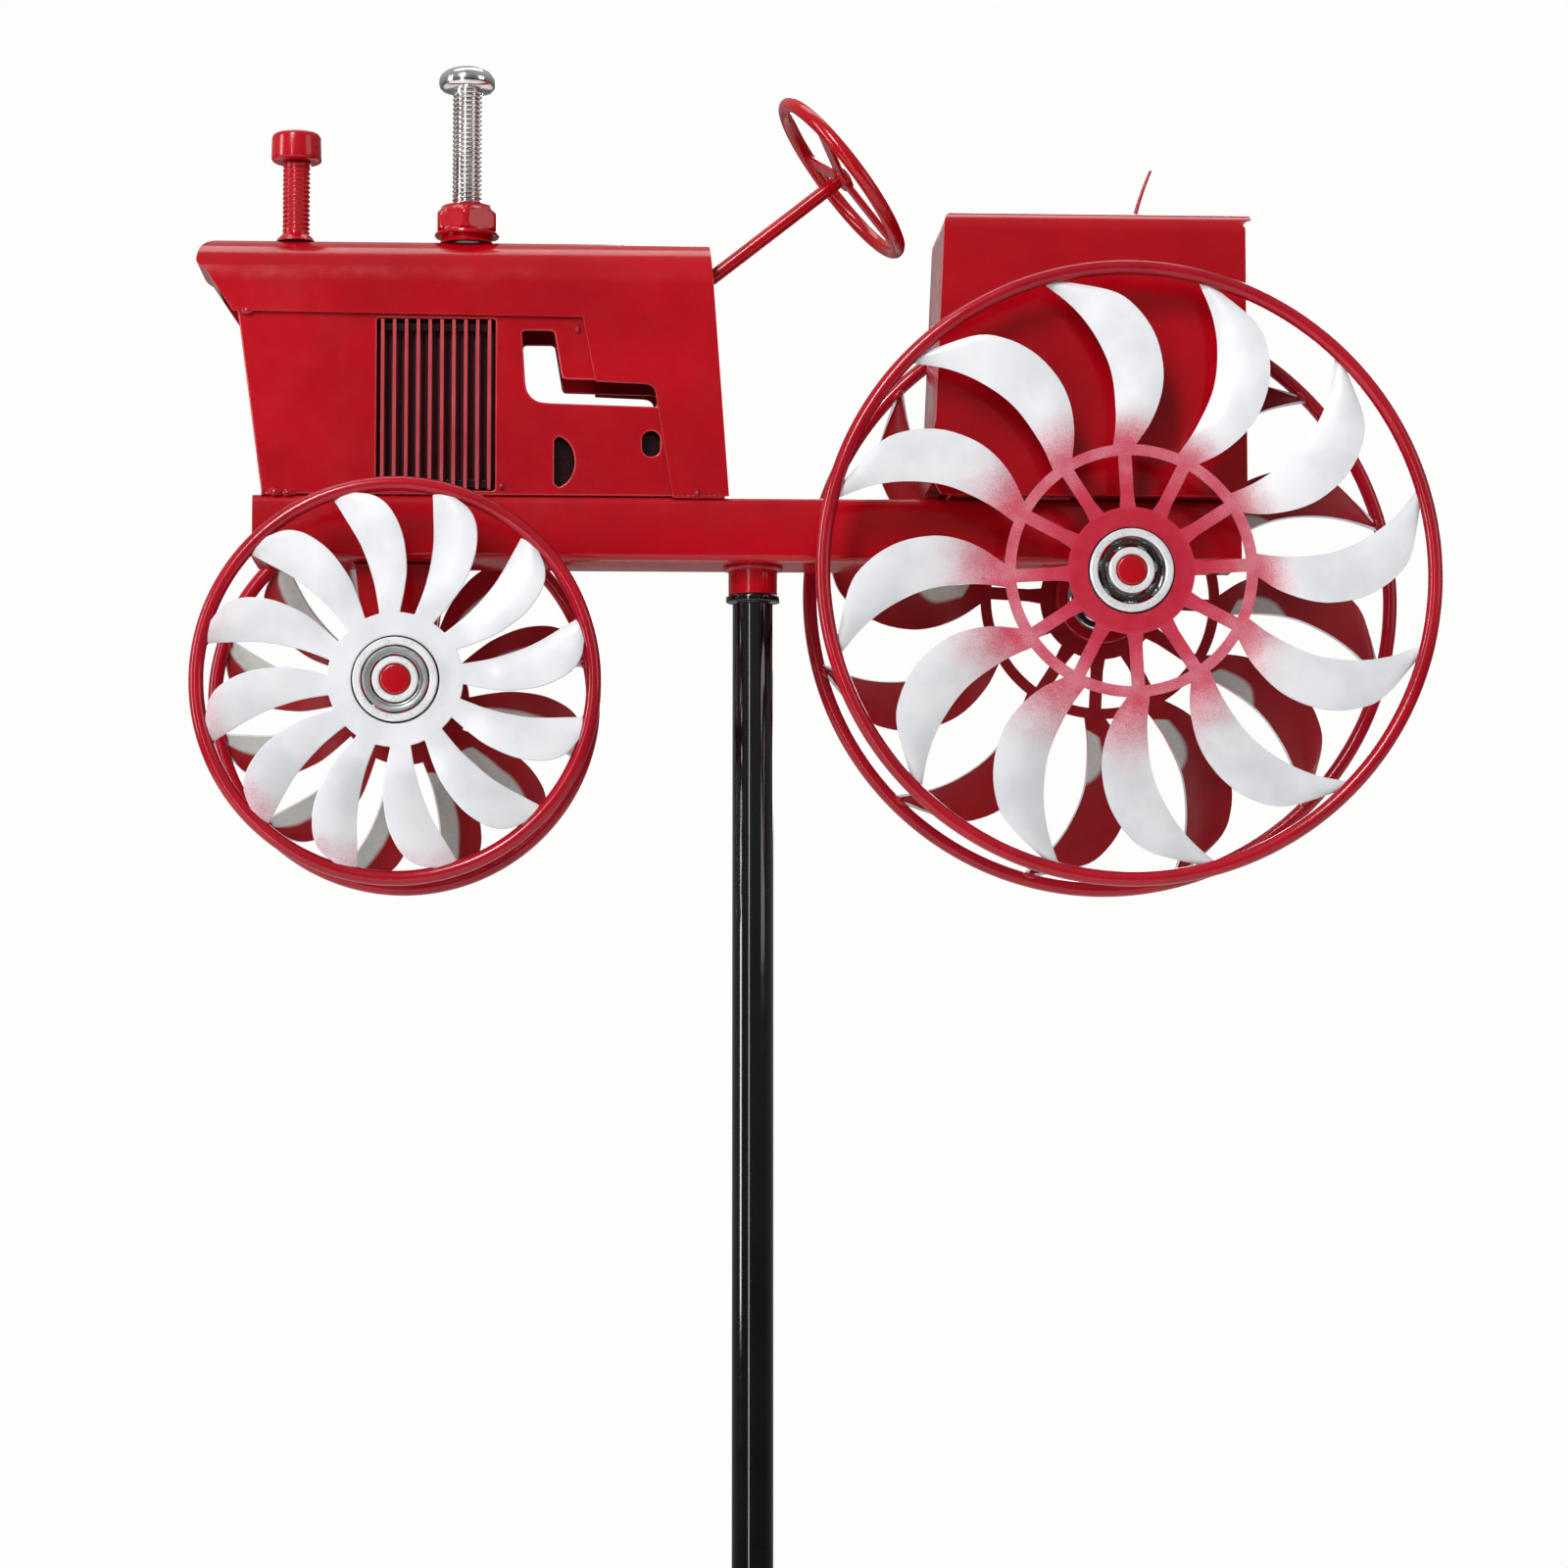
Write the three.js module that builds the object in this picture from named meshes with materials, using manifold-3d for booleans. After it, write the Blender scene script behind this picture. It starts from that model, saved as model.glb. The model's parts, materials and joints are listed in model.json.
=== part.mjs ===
// Garden windmill: a farm-tractor wind spinner that swivels on a garden pole.
// Millimetres, +Z up. The origin is on the pole's axis at the ground line, the nose points along -X,
// and the tractor's left side is -Y.

import * as THREE from "three";
import { mergeVertices } from "three/addons/utils/BufferGeometryUtils.js";
import Module from "manifold-3d";

const wasm = await Module();
wasm.setup();

const { degToRad, smoothstep } = THREE.MathUtils;

// ---------------------------------------------------------------- driving dimensions

const GAP = 0.3; // clearance between pieces that touch or are welded
const SHEET = 1; // thickness of the sheet-metal pieces

// Pole and ground fork, heights from the ground line.
const POLE = { radius: 5.5, bore: 4.7, joint: 300, top: 610, neckRadius: 4.4, neckBore: 3.6, neck: 35 };
const FORK = { length: 110, width: 22, thickness: 4, prongRadius: 3.5, prongTop: 16, depth: 180, corner: 3 };
const FORK_SOCKET = { radius: 7.6, bore: 5.9, top: 60 };
const SWIVEL = { pinRadius: 4, socketRadius: 6.6, socketBore: 4.35, drop: 7.7, washerRadius: 7.25 };

// Tractor body. Its heights count from the top face of the chassis beam.
const CHASSIS_TOP = 637;
const BEAM = { front: -132.8, rear: 130, halfWidth: 13, height: 17, wall: 1.5, corner: 2 };
const HOOD = { halfWidth: 13, crown: 70, nose: -148.3, rearTop: -12, rearFoot: -6.9 };
const PANEL = { outer: 11.7, frontFoot: -130.5, frontTop: -137.6, top: 56 };
const GRILLE = { left: -100.4, right: -69, bottom: 1.5, top: 47.5, slats: 10, slatWidth: 0.9 };
const CORE_HALF_WIDTH = 7.5;
const ENGINE_BLOCK = { front: -58, step: -40, rear: -20, low: 19, high: 22.5 };
const FENDER = { front: 50, rear: 130.6, top: 77, halfWidth: 19.5, bend: 6 };
const COLUMN = { radius: 1.9, tilt: 38.2, hubX: 24, hubZ: 89 };
const STEERING_WHEEL = { radius: 24.5, tube: 2, hub: 4, spokeWidth: 4, spokeThickness: 1.5 };
const AIR_CLEANER = { x: -122.7, shank: 3.7, head: 6.9, headBottom: 91.6, top: 99.5, socket: 3.3 };
const EXHAUST = { x: -77, shank: 3.9, head: 7.8, headBottom: 111.5, top: 118 };
const NUT = { acrossFlats: 14, flange: 8.75, flangeBottom: 71.7, top: 79.9, bore: 4.2 };
const LEVER = { foot: [103, 77.4], tip: [108, 92], radius: 0.6 };

// Wheels and the 8 x 22 x 7 mm ball bearings in their hubs.
const AXLE_RADIUS = 4;
const REAR_AXLE = { x: 97.7, z: -21.3, halfTrack: 30 };
const FRONT_AXLE = { x: -94.1, z: -50.7, halfTrack: 28 };
const SPACER_RADIUS = 6;
const BEARING = { halfWidth: 3.5, outer: 11, inner: 4.15, pitch: 7.5, ball: 1.9, balls: 7 };
const BEARING_SEGMENTS = 16;
const SHEET_FACE = -2.5; // outer face of a rotor's sheet, from the wheel's middle plane
const BLADES = 12;
const BLADE_STEP = 360 / BLADES;

// A blade's two edges run from the root to the tip as (angle, radius) points. Angles are degrees
// from the blade's own radial line, positive against the clock as seen from outside the wheel.
const REAR_WHEEL = {
  radius: 82.7,
  rimTube: 2,
  rimSegments: 40,
  hubRadius: 16.7,
  firstBlade: 93,
  middle: 0,
  rootRadius: 33.3,
  ringInner: 30.4,
  spokeWidth: 3.4,
  pitch: 0.22,
  concave: [[4.9, 33.3], [2.1, 42], [2.3, 53], [5.2, 63], [8.8, 71.5], [12.1, 78.3]],
  convex: [
    [-5.4, 33.3], [-10.6, 39.5], [-12.6, 47], [-11.9, 54], [-9, 62], [-4.6, 69], [0.7, 74], [10.6, 78.3],
  ],
};
const FRONT_WHEEL = {
  radius: 53.5,
  rimTube: 2,
  rimSegments: 36,
  hubRadius: 17.6,
  firstBlade: 89.5,
  middle: 6.8,
  rootRadius: 17.6,
  pitch: 0.22,
  concave: [[14.2, 17.6], [13, 26.4], [14.9, 36], [18.2, 45.2], [18.7, 49]],
  convex: [[-3.2, 17.6], [-5.2, 24.2], [-5, 30], [-2.1, 38], [2.4, 44.6], [7.1, 48.2], [12, 49]],
};

const MATERIALS = {
  redPaint: { color: 0xa50f1c, roughness: 0.25, metalness: 0.1 },
  redShade: { color: 0x6e0610, roughness: 0.4, metalness: 0.1 },
  bladeWhite: { color: 0xe9eaee, roughness: 0.35, metalness: 0.1 },
  blackPaint: { color: 0x0c0c0d, roughness: 0.2, metalness: 0.1 },
  chrome: { color: 0xc8c8c4, roughness: 0.12, metalness: 1 },
  bearingSteel: { color: 0xb9bcbe, roughness: 0.25, metalness: 1 },
};
for (const name of Object.keys(MATERIALS)) {
  MATERIALS[name] = new THREE.MeshStandardMaterial({ name, ...MATERIALS[name] });
}

// ---------------------------------------------------------------- solids and shapes

function toSolid(geometry) {
  const bare = geometry.clone();
  bare.deleteAttribute("normal");
  bare.deleteAttribute("uv");
  const merged = mergeVertices(bare, 1e-4);
  return new wasm.Manifold(
    new wasm.Mesh({
      numProp: 3,
      vertProperties: merged.attributes.position.array,
      triVerts: new Uint32Array(merged.index.array),
    }),
  );
}

function toGeometry(solid) {
  const mesh = solid.getMesh();
  return new THREE.BufferGeometry()
    .setAttribute("position", new THREE.BufferAttribute(mesh.vertProperties, 3))
    .setIndex(new THREE.BufferAttribute(mesh.triVerts, 1));
}

function cut(body, ...tools) {
  return toGeometry(tools.reduce((solid, tool) => solid.subtract(toSolid(tool)), toSolid(body)));
}

function join(...pieces) {
  return toGeometry(pieces.map(toSolid).reduce((a, b) => a.add(b)));
}

function common(a, b) {
  return toGeometry(toSolid(a).intersect(toSolid(b)));
}

function shapeOf(points) {
  return new THREE.Shape(points.map(([u, v]) => new THREE.Vector2(u, v)));
}

function rectangle(u0, u1, v0, v1) {
  return shapeOf([[u0, v0], [u1, v0], [u1, v1], [u0, v1]]);
}

function roundedRectangle(u0, u1, v0, v1, r) {
  const shape = new THREE.Shape();
  shape.moveTo(u0 + r, v0);
  shape.absarc(u1 - r, v0 + r, r, -Math.PI / 2, 0);
  shape.absarc(u1 - r, v1 - r, r, 0, Math.PI / 2);
  shape.absarc(u0 + r, v1 - r, r, Math.PI / 2, Math.PI);
  shape.absarc(u0 + r, v0 + r, r, Math.PI, 1.5 * Math.PI);
  return shape;
}

// An outline in X and Z, made thick along Y from y0 to y1.
function slab(shape, y0, y1, curveSegments = 4) {
  const geometry = new THREE.ExtrudeGeometry(shape, { depth: y1 - y0, bevelEnabled: false, curveSegments });
  return geometry.rotateX(Math.PI / 2).translate(0, y1, 0);
}

// A section in Y and Z, drawn out along X from x0 to x1.
function bar(section, x0, x1, curveSegments = 4) {
  const settings = { depth: x1 - x0, bevelEnabled: false, curveSegments };
  const geometry = new THREE.ExtrudeGeometry(section, settings);
  const alongX = new THREE.Matrix4().makeBasis(
    new THREE.Vector3(0, 1, 0),
    new THREE.Vector3(0, 0, 1),
    new THREE.Vector3(1, 0, 0),
  );
  return geometry.applyMatrix4(alongX).translate(x0, 0, 0);
}

// A profile of (radius, position along the axis) points turned about Y, or about Z.
function turned(profile, segments) {
  return new THREE.LatheGeometry(profile.map(([r, h]) => new THREE.Vector2(r, h)), segments);
}

function turnedZ(profile, segments) {
  return turned(profile, segments).rotateX(Math.PI / 2);
}

function tubeSection(inner, outer, h0, h1) {
  return [[inner, h0], [outer, h0], [outer, h1], [inner, h1], [inner, h0]];
}

function rod(start, end, radius, segments) {
  const from = new THREE.Vector3(...start);
  const to = new THREE.Vector3(...end);
  const direction = to.clone().sub(from);
  const geometry = new THREE.CylinderGeometry(radius, radius, direction.length(), segments);
  const turn = new THREE.Quaternion().setFromUnitVectors(
    new THREE.Vector3(0, 1, 0),
    direction.clone().normalize(),
  );
  const middle = from.add(to).multiplyScalar(0.5);
  return geometry.applyQuaternion(turn).translate(middle.x, middle.y, middle.z);
}

function place(group, name, geometry, material) {
  geometry.computeVertexNormals();
  const mesh = new THREE.Mesh(geometry, material);
  mesh.name = name;
  group.add(mesh);
}

// ---------------------------------------------------------------- pole and ground fork

function addGroundFork(group) {
  const half = FORK.length / 2;
  const plan = roundedRectangle(-half, half, -FORK.width / 2, FORK.width / 2, FORK.corner);
  const lift = { depth: FORK.thickness, bevelEnabled: false, curveSegments: 4 };
  place(group, "fork_step_bar", new THREE.ExtrudeGeometry(plan, lift), MATERIALS.blackPaint);

  const r = FORK.prongRadius;
  const prong = [
    [0, -FORK.depth], [r, -FORK.depth + 4 * r],
    [r, FORK.prongTop - 1], [r - 1, FORK.prongTop], [0, FORK.prongTop],
  ];
  const prongAt = half + r + GAP;
  for (const [side, x] of [["front", -prongAt], ["rear", prongAt]]) {
    place(group, `fork_prong_${side}`, turnedZ(prong, 12).translate(x, 0, 0), MATERIALS.blackPaint);
  }

  const foot = FORK.thickness + GAP;
  const socket = tubeSection(FORK_SOCKET.bore, FORK_SOCKET.radius, foot, FORK_SOCKET.top);
  place(group, "fork_socket", turnedZ(socket, 20), MATERIALS.blackPaint);
}

function addPole(group) {
  const foot = FORK.thickness + 2 * GAP;
  const shoulder = POLE.joint - 2;
  const lower = [
    [POLE.bore, foot], [POLE.radius, foot], [POLE.radius, shoulder], [POLE.neckRadius, POLE.joint],
    [POLE.neckRadius, POLE.joint + POLE.neck], [POLE.neckBore, POLE.joint + POLE.neck],
    [POLE.neckBore, POLE.joint], [POLE.bore, shoulder], [POLE.bore, foot],
  ];
  place(group, "pole_lower", turnedZ(lower, 20), MATERIALS.blackPaint);
  const upper = tubeSection(POLE.bore, POLE.radius, POLE.joint, POLE.top);
  place(group, "pole_upper", turnedZ(upper, 20), MATERIALS.blackPaint);

  const plug = POLE.bore - GAP;
  const tip = CHASSIS_TOP - BEAM.height + 10;
  const pin = [
    [0, POLE.top - 40], [plug, POLE.top - 40], [plug, POLE.top], [SWIVEL.pinRadius, POLE.top],
    [SWIVEL.pinRadius, tip - 2], [0, tip],
  ];
  place(group, "swivel_pin", turnedZ(pin, 16), MATERIALS.bearingSteel);
  const washerTop = CHASSIS_TOP - BEAM.height - SWIVEL.drop - GAP;
  const washer = tubeSection(SWIVEL.socketBore, SWIVEL.washerRadius, POLE.top + GAP, washerTop);
  place(group, "swivel_washer", turnedZ(washer, 20), MATERIALS.blackPaint);
}

// ---------------------------------------------------------------- chassis

function addChassis(group) {
  const h = BEAM.height;
  const w = BEAM.halfWidth;
  const section = roundedRectangle(-w, w, -h, 0, BEAM.corner);
  const inside = w - BEAM.wall;
  section.holes.push(rectangle(-inside, inside, -h + BEAM.wall, -BEAM.wall));
  const mouth = rod([0, 0, -h - 1], [0, 0, -h + BEAM.wall + 1], SWIVEL.socketRadius + GAP, 20);
  place(group, "chassis_beam", cut(bar(section, BEAM.front, BEAM.rear, 2), mouth), MATERIALS.redPaint);

  const pinTip = -h + 10;
  const foot = -h - SWIVEL.drop;
  const socket = [
    [SWIVEL.socketBore, foot], [SWIVEL.socketRadius, foot], [SWIVEL.socketRadius, -BEAM.wall - GAP],
    [0, -BEAM.wall - GAP], [0, pinTip + GAP], [SWIVEL.socketBore, pinTip + GAP], [SWIVEL.socketBore, foot],
  ];
  place(group, "swivel_socket", turnedZ(socket, 20), MATERIALS.redPaint);
}

// ---------------------------------------------------------------- hood and body panels

// X of the hood's leaning rear edge at height z.
function hoodRear(z) {
  return HOOD.rearFoot + ((HOOD.rearTop - HOOD.rearFoot) * z) / HOOD.crown;
}

// The hood's section: straight sides under a half-round crown.
function hoodSection(inset, foot) {
  const r = HOOD.halfWidth - inset;
  const spring = HOOD.crown - HOOD.halfWidth;
  const section = new THREE.Shape();
  section.moveTo(-r, foot);
  section.lineTo(r, foot);
  section.absarc(0, spring, r, 0, Math.PI);
  return section;
}

// Side view of the hood: nose, lower edge and stepped cowl. The skirt is how far the lower and
// rear edges are carried on, which opens them when the inset outline is cut away.
function hoodOutline(inset, skirt) {
  const top = HOOD.crown - inset;
  const nose = HOOD.nose + inset;
  const outline = new THREE.Shape();
  outline.moveTo(HOOD.rearFoot + skirt, GAP - skirt);
  outline.lineTo(HOOD.rearTop + skirt, top);
  outline.lineTo(nose + 7, top);
  outline.quadraticCurveTo(nose + 0.4, top, nose, HOOD.crown - 6.5);
  outline.quadraticCurveTo(nose - 0.4, HOOD.crown - 8.5, nose + 2.5, HOOD.crown - 10);
  outline.lineTo(-139.2 + 1.2 * inset, 50.2 - skirt * 0.4);
  outline.lineTo(-138.4 + 1.2 * inset, 49 - skirt);
  outline.lineTo(-45.8 - skirt, 48 - skirt);
  outline.lineTo(-42.4 - skirt, 30.8 - skirt);
  outline.lineTo(-29.5 - skirt, 30.3 - skirt);
  outline.quadraticCurveTo(-26.8 - skirt, 30.2 - skirt, -26.5 - skirt, 28 - skirt);
  outline.lineTo(-21.8 - skirt, GAP - skirt);
  return outline;
}

function addHood(group) {
  const outer = common(
    bar(hoodSection(0, -2), HOOD.nose - 1, 0, 14),
    slab(hoodOutline(0, 0), -HOOD.halfWidth - 1, HOOD.halfWidth + 1, 6),
  );
  const hollow = common(
    bar(hoodSection(SHEET, -20), HOOD.nose, 20, 14),
    slab(hoodOutline(SHEET, 12), -HOOD.halfWidth, HOOD.halfWidth, 6),
  );
  place(group, "hood", cut(outer, hollow), MATERIALS.redPaint);
}

function sidePanelShape() {
  const foot = GAP;
  const rearGap = 2.6;
  const panel = shapeOf([
    [PANEL.frontFoot, foot], [hoodRear(foot) - rearGap, foot],
    [hoodRear(PANEL.top) - rearGap, PANEL.top], [PANEL.frontTop, PANEL.top],
    [PANEL.frontTop + 0.4, 49],
  ]);
  const bend = new THREE.Path();
  bend.moveTo(-62, 44.5);
  bend.lineTo(-53.5, 44.5);
  bend.lineTo(-51.5, 33);
  bend.quadraticCurveTo(-51.1, 31.6, -49.5, 31.5);
  bend.lineTo(-26, 31);
  bend.lineTo(-26, 24.3);
  bend.lineTo(-56, 25.1);
  bend.quadraticCurveTo(-60.6, 25.3, -61.2, 30);
  panel.holes.push(bend);
  panel.holes.push(rectangle(GRILLE.left, GRILLE.right, GRILLE.bottom, GRILLE.top));
  panel.holes.push(roundedRectangle(-53.5, -48, 2.4, 16.3, 2.7));
  panel.holes.push(roundedRectangle(-30, -25.2, 11, 17.8, 2.3));
  return panel;
}

// Ten upright slats, tied behind by a rail at the top and one at the foot.
function grilleGeometry() {
  const face = PANEL.outer + 0.5;
  const back = face - 2.6;
  const pitch = (GRILLE.right - GRILLE.left) / GRILLE.slats;
  const pieces = [];
  for (let i = 0; i < GRILLE.slats; i += 1) {
    const x = GRILLE.left + pitch * (i + 0.5) - GRILLE.slatWidth / 2;
    const slat = rectangle(x, x + GRILLE.slatWidth, GRILLE.bottom + GAP, GRILLE.top - GAP);
    pieces.push(slab(slat, -face, -back));
  }
  for (const z of [GRILLE.bottom + 1, GRILLE.top - 3]) {
    const rail = rectangle(GRILLE.left + 1, GRILLE.right - 1, z, z + 2);
    pieces.push(slab(rail, -back - 0.2, -back + 0.8));
  }
  return join(...pieces);
}

function addPanels(group) {
  const inner = PANEL.outer - SHEET;
  const shape = sidePanelShape();
  place(group, "side_panel_left", slab(shape, -PANEL.outer, -inner), MATERIALS.redPaint);
  place(group, "side_panel_right", slab(shape, inner, PANEL.outer), MATERIALS.redPaint);

  const grille = grilleGeometry();
  place(group, "grille_left", grille, MATERIALS.redPaint);
  const middle = (GRILLE.left + GRILLE.right) / 2;
  const other = grille.clone().translate(-middle, 0, 0).rotateZ(Math.PI).translate(middle, 0, 0);
  place(group, "grille_right", other, MATERIALS.redPaint);

  const core = rectangle(GRILLE.left - 3, GRILLE.right + 3, GAP, GRILLE.top - 2);
  place(group, "radiator_core", slab(core, -CORE_HALF_WIDTH, CORE_HALF_WIDTH), MATERIALS.redShade);
  const { front: blockFront, step: blockStep, rear: blockRear, low, high } = ENGINE_BLOCK;
  const block = shapeOf([
    [blockFront, GAP], [blockRear, GAP], [blockRear, high],
    [blockStep, high], [blockStep, low], [blockFront, low],
  ]);
  place(group, "engine_block", slab(block, -CORE_HALF_WIDTH, CORE_HALF_WIDTH), MATERIALS.redShade);

  const width = inner - GAP;
  const front = shapeOf([
    [PANEL.frontFoot, GAP], [PANEL.frontFoot + SHEET, GAP],
    [PANEL.frontTop + SHEET, PANEL.top], [PANEL.frontTop, PANEL.top],
  ]);
  place(group, "front_plate", slab(front, -width, width), MATERIALS.redPaint);

  const inset = 1.2;
  const rear = shapeOf([
    [hoodRear(0) - inset - SHEET, 0], [hoodRear(0) - inset, 0],
    [hoodRear(HOOD.crown) - inset, HOOD.crown], [hoodRear(HOOD.crown) - inset - SHEET, HOOD.crown],
  ]);
  const bulkhead = common(
    bar(hoodSection(SHEET + GAP, GAP), -30, 0, 12),
    slab(rear, -HOOD.halfWidth, HOOD.halfWidth),
  );
  place(group, "rear_bulkhead", bulkhead, MATERIALS.redPaint);
}

// ---------------------------------------------------------------- steering

function addSteering(group) {
  const tilt = degToRad(COLUMN.tilt);
  const along = [Math.cos(tilt), 0, Math.sin(tilt)];
  const pointAt = (s) => [COLUMN.hubX + s * along[0], 0, COLUMN.hubZ + s * along[2]];
  const plateFace = 0.9;
  const keepOut = shapeOf([
    [-60, 20], [hoodRear(20) - plateFace, 20], [hoodRear(90) - plateFace, 90], [-60, 90],
  ]);
  const column = cut(rod(pointAt(-55), pointAt(-1 - GAP), COLUMN.radius, 14), slab(keepOut, -9, 9));
  place(group, "steering_column", column, MATERIALS.redPaint);

  const wheel = STEERING_WHEEL;
  const pieces = [
    new THREE.TorusGeometry(wheel.radius, wheel.tube, 8, 32),
    rod([0, 0, -1], [0, 0, 1.6], wheel.hub, 16),
  ];
  for (let i = 0; i < 3; i += 1) {
    const spoke = new THREE.BoxGeometry(wheel.radius, wheel.spokeWidth, wheel.spokeThickness);
    spoke.translate(wheel.radius / 2, 0, 0).rotateZ(degToRad(120 * i));
    pieces.push(spoke);
  }
  const ring = join(...pieces).rotateY(Math.PI / 2 - tilt).translate(COLUMN.hubX, 0, COLUMN.hubZ);
  place(group, "steering_wheel", ring, MATERIALS.redPaint);
}

// ---------------------------------------------------------------- stacks on the hood

function addStacks(group) {
  const base = HOOD.crown + GAP;
  const cap = AIR_CLEANER;
  const screw = [
    [0, base], [cap.shank + 1.4, base], [cap.shank, base + 1.6], [cap.shank, cap.headBottom],
    [cap.head - 0.6, cap.headBottom], [cap.head, cap.headBottom + 0.8], [cap.head, cap.top - 1],
    [cap.head - 1, cap.top], [cap.socket, cap.top], [cap.socket, cap.top - 5], [0, cap.top - 5],
  ];
  place(group, "air_cleaner_screw", turnedZ(screw, 18).translate(cap.x, 0, 0), MATERIALS.redPaint);

  const hexRadius = NUT.acrossFlats / 2 / Math.cos(Math.PI / 6);
  const hex = new THREE.CylinderGeometry(hexRadius - 0.8, hexRadius, NUT.top - NUT.flangeBottom - 1, 6);
  hex.rotateX(Math.PI / 2).translate(0, 0, (NUT.top + NUT.flangeBottom + 1) / 2);
  const foot = [
    [0, base], [7, base], [7, NUT.flangeBottom], [NUT.flange, NUT.flangeBottom],
    [NUT.flange, NUT.flangeBottom + 1], [hexRadius, NUT.flangeBottom + 2], [0, NUT.flangeBottom + 2],
  ];
  const hole = rod([0, 0, base - 1], [0, 0, NUT.top + 1], NUT.bore + 0.15, 16);
  const nut = cut(join(hex, turnedZ(foot, 16)), hole);
  place(group, "exhaust_nut", nut.translate(EXHAUST.x, 0, 0), MATERIALS.redPaint);

  const dome = [[0, base + GAP], [EXHAUST.shank, base + GAP], [EXHAUST.shank, EXHAUST.headBottom]];
  const rise = EXHAUST.top - EXHAUST.headBottom - 2;
  for (let i = 0; i <= 5; i += 1) {
    const a = (i / 5) * (Math.PI / 2);
    dome.push([EXHAUST.head * Math.cos(a), EXHAUST.headBottom + 2 + rise * Math.sin(a)]);
    if (i === 0) dome.splice(3, 0, [EXHAUST.head - 0.6, EXHAUST.headBottom]);
  }
  dome[dome.length - 1][0] = 0;
  place(group, "exhaust_screw", turnedZ(dome, 18).translate(EXHAUST.x, 0, 0), MATERIALS.chrome);
}

// ---------------------------------------------------------------- fender box

function fenderSection(inset, foot) {
  const w = FENDER.halfWidth - inset;
  const r = FENDER.bend - inset;
  const top = FENDER.top - inset;
  const section = new THREE.Shape();
  section.moveTo(-w, foot);
  section.lineTo(w, foot);
  section.absarc(w - r, top - r, r, 0, Math.PI / 2);
  section.absarc(-w + r, top - r, r, Math.PI / 2, Math.PI);
  return section;
}

function addFender(group) {
  const { front, rear, top } = FENDER;
  const outline = new THREE.Shape();
  outline.moveTo(front - 1, GAP);
  outline.lineTo(rear, GAP);
  outline.lineTo(rear, top - 4.5);
  outline.lineTo(rear - 1.2, top - 3);
  outline.lineTo(rear + 1.8, top - 2);
  outline.lineTo(rear + 1.4, top);
  outline.lineTo(front + 3.5, top);
  outline.quadraticCurveTo(front - 0.2, top, front, top - 5);
  outline.lineTo(front - 2.4, 20);
  outline.lineTo(front - 5.5, 8);
  const shell = common(
    bar(fenderSection(0, -2), front - 10, rear + 5, 4),
    slab(outline, -FENDER.halfWidth - 1, FENDER.halfWidth + 1),
  );
  const hollow = bar(fenderSection(SHEET, -20), front + SHEET, rear + 20, 4);
  const toe = slab(rectangle(front - 20, front + 2, -20, 4), -18.5, 18.5);
  place(group, "fender_box", cut(shell, hollow, toe), MATERIALS.redPaint);

  const floor = rectangle(front + 1 + 2 * GAP, rear - 2, GAP, GAP + 1.5);
  const width = FENDER.halfWidth - SHEET - GAP;
  place(group, "fender_floor", slab(floor, -width, width), MATERIALS.redPaint);

  const wire = rod([LEVER.foot[0], 0, LEVER.foot[1]], [LEVER.tip[0], 0, LEVER.tip[1]], LEVER.radius, 8);
  place(group, "lever_wire", wire, MATERIALS.redPaint);
}

// ---------------------------------------------------------------- axles

function addAxles(group) {
  const segments = BEARING_SEGMENTS;
  for (const [name, axle] of [["rear_axle", REAR_AXLE], ["front_axle", FRONT_AXLE]]) {
    const end = axle.halfTrack + BEARING.halfWidth;
    const shaft = turned([[0, -end], [AXLE_RADIUS, -end], [AXLE_RADIUS, end], [0, end]], segments);
    place(group, name, shaft.translate(axle.x, 0, axle.z), MATERIALS.redPaint);
  }

  const { x, z } = FRONT_AXLE;
  const eye = 8;
  const post = new THREE.Shape();
  post.moveTo(x - 12, -BEAM.height - GAP);
  post.lineTo(x - eye, z);
  post.absarc(x, z, eye, Math.PI, 2 * Math.PI);
  post.lineTo(x + 12, -BEAM.height - GAP);
  const bore = new THREE.Path();
  bore.absarc(x, z, AXLE_RADIUS + GAP, 0, 2 * Math.PI);
  post.holes.push(bore);
  const halfWidth = 6;
  place(group, "front_axle_post", slab(post, -halfWidth, halfWidth, 12), MATERIALS.redPaint);

  const bearingBack = BEARING.halfWidth + GAP;
  for (const [end, axle, start] of [
    ["rear", REAR_AXLE, BEAM.halfWidth + 2 * GAP],
    ["front", FRONT_AXLE, halfWidth + GAP],
  ]) {
    for (const [side, sign] of [["left", 1], ["right", -1]]) {
      const section = tubeSection(AXLE_RADIUS + GAP, SPACER_RADIUS, bearingBack - axle.halfTrack, -start);
      const spacer = turned(section, segments).rotateZ(sign > 0 ? 0 : Math.PI);
      place(group, `${end}_${side}_spacer`, spacer.translate(axle.x, 0, axle.z), MATERIALS.redPaint);
    }
  }
}

// ---------------------------------------------------------------- wheels

function polar(angle, radius) {
  const a = degToRad(angle);
  return new THREE.Vector2(radius * Math.cos(a), radius * Math.sin(a));
}

// The points of a smooth blade edge.
function bladeEdge(knots, blade, steps) {
  const curve = new THREE.SplineCurve(knots.map(([angle, radius]) => polar(blade + angle, radius)));
  return curve.getPoints(steps);
}

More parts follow.
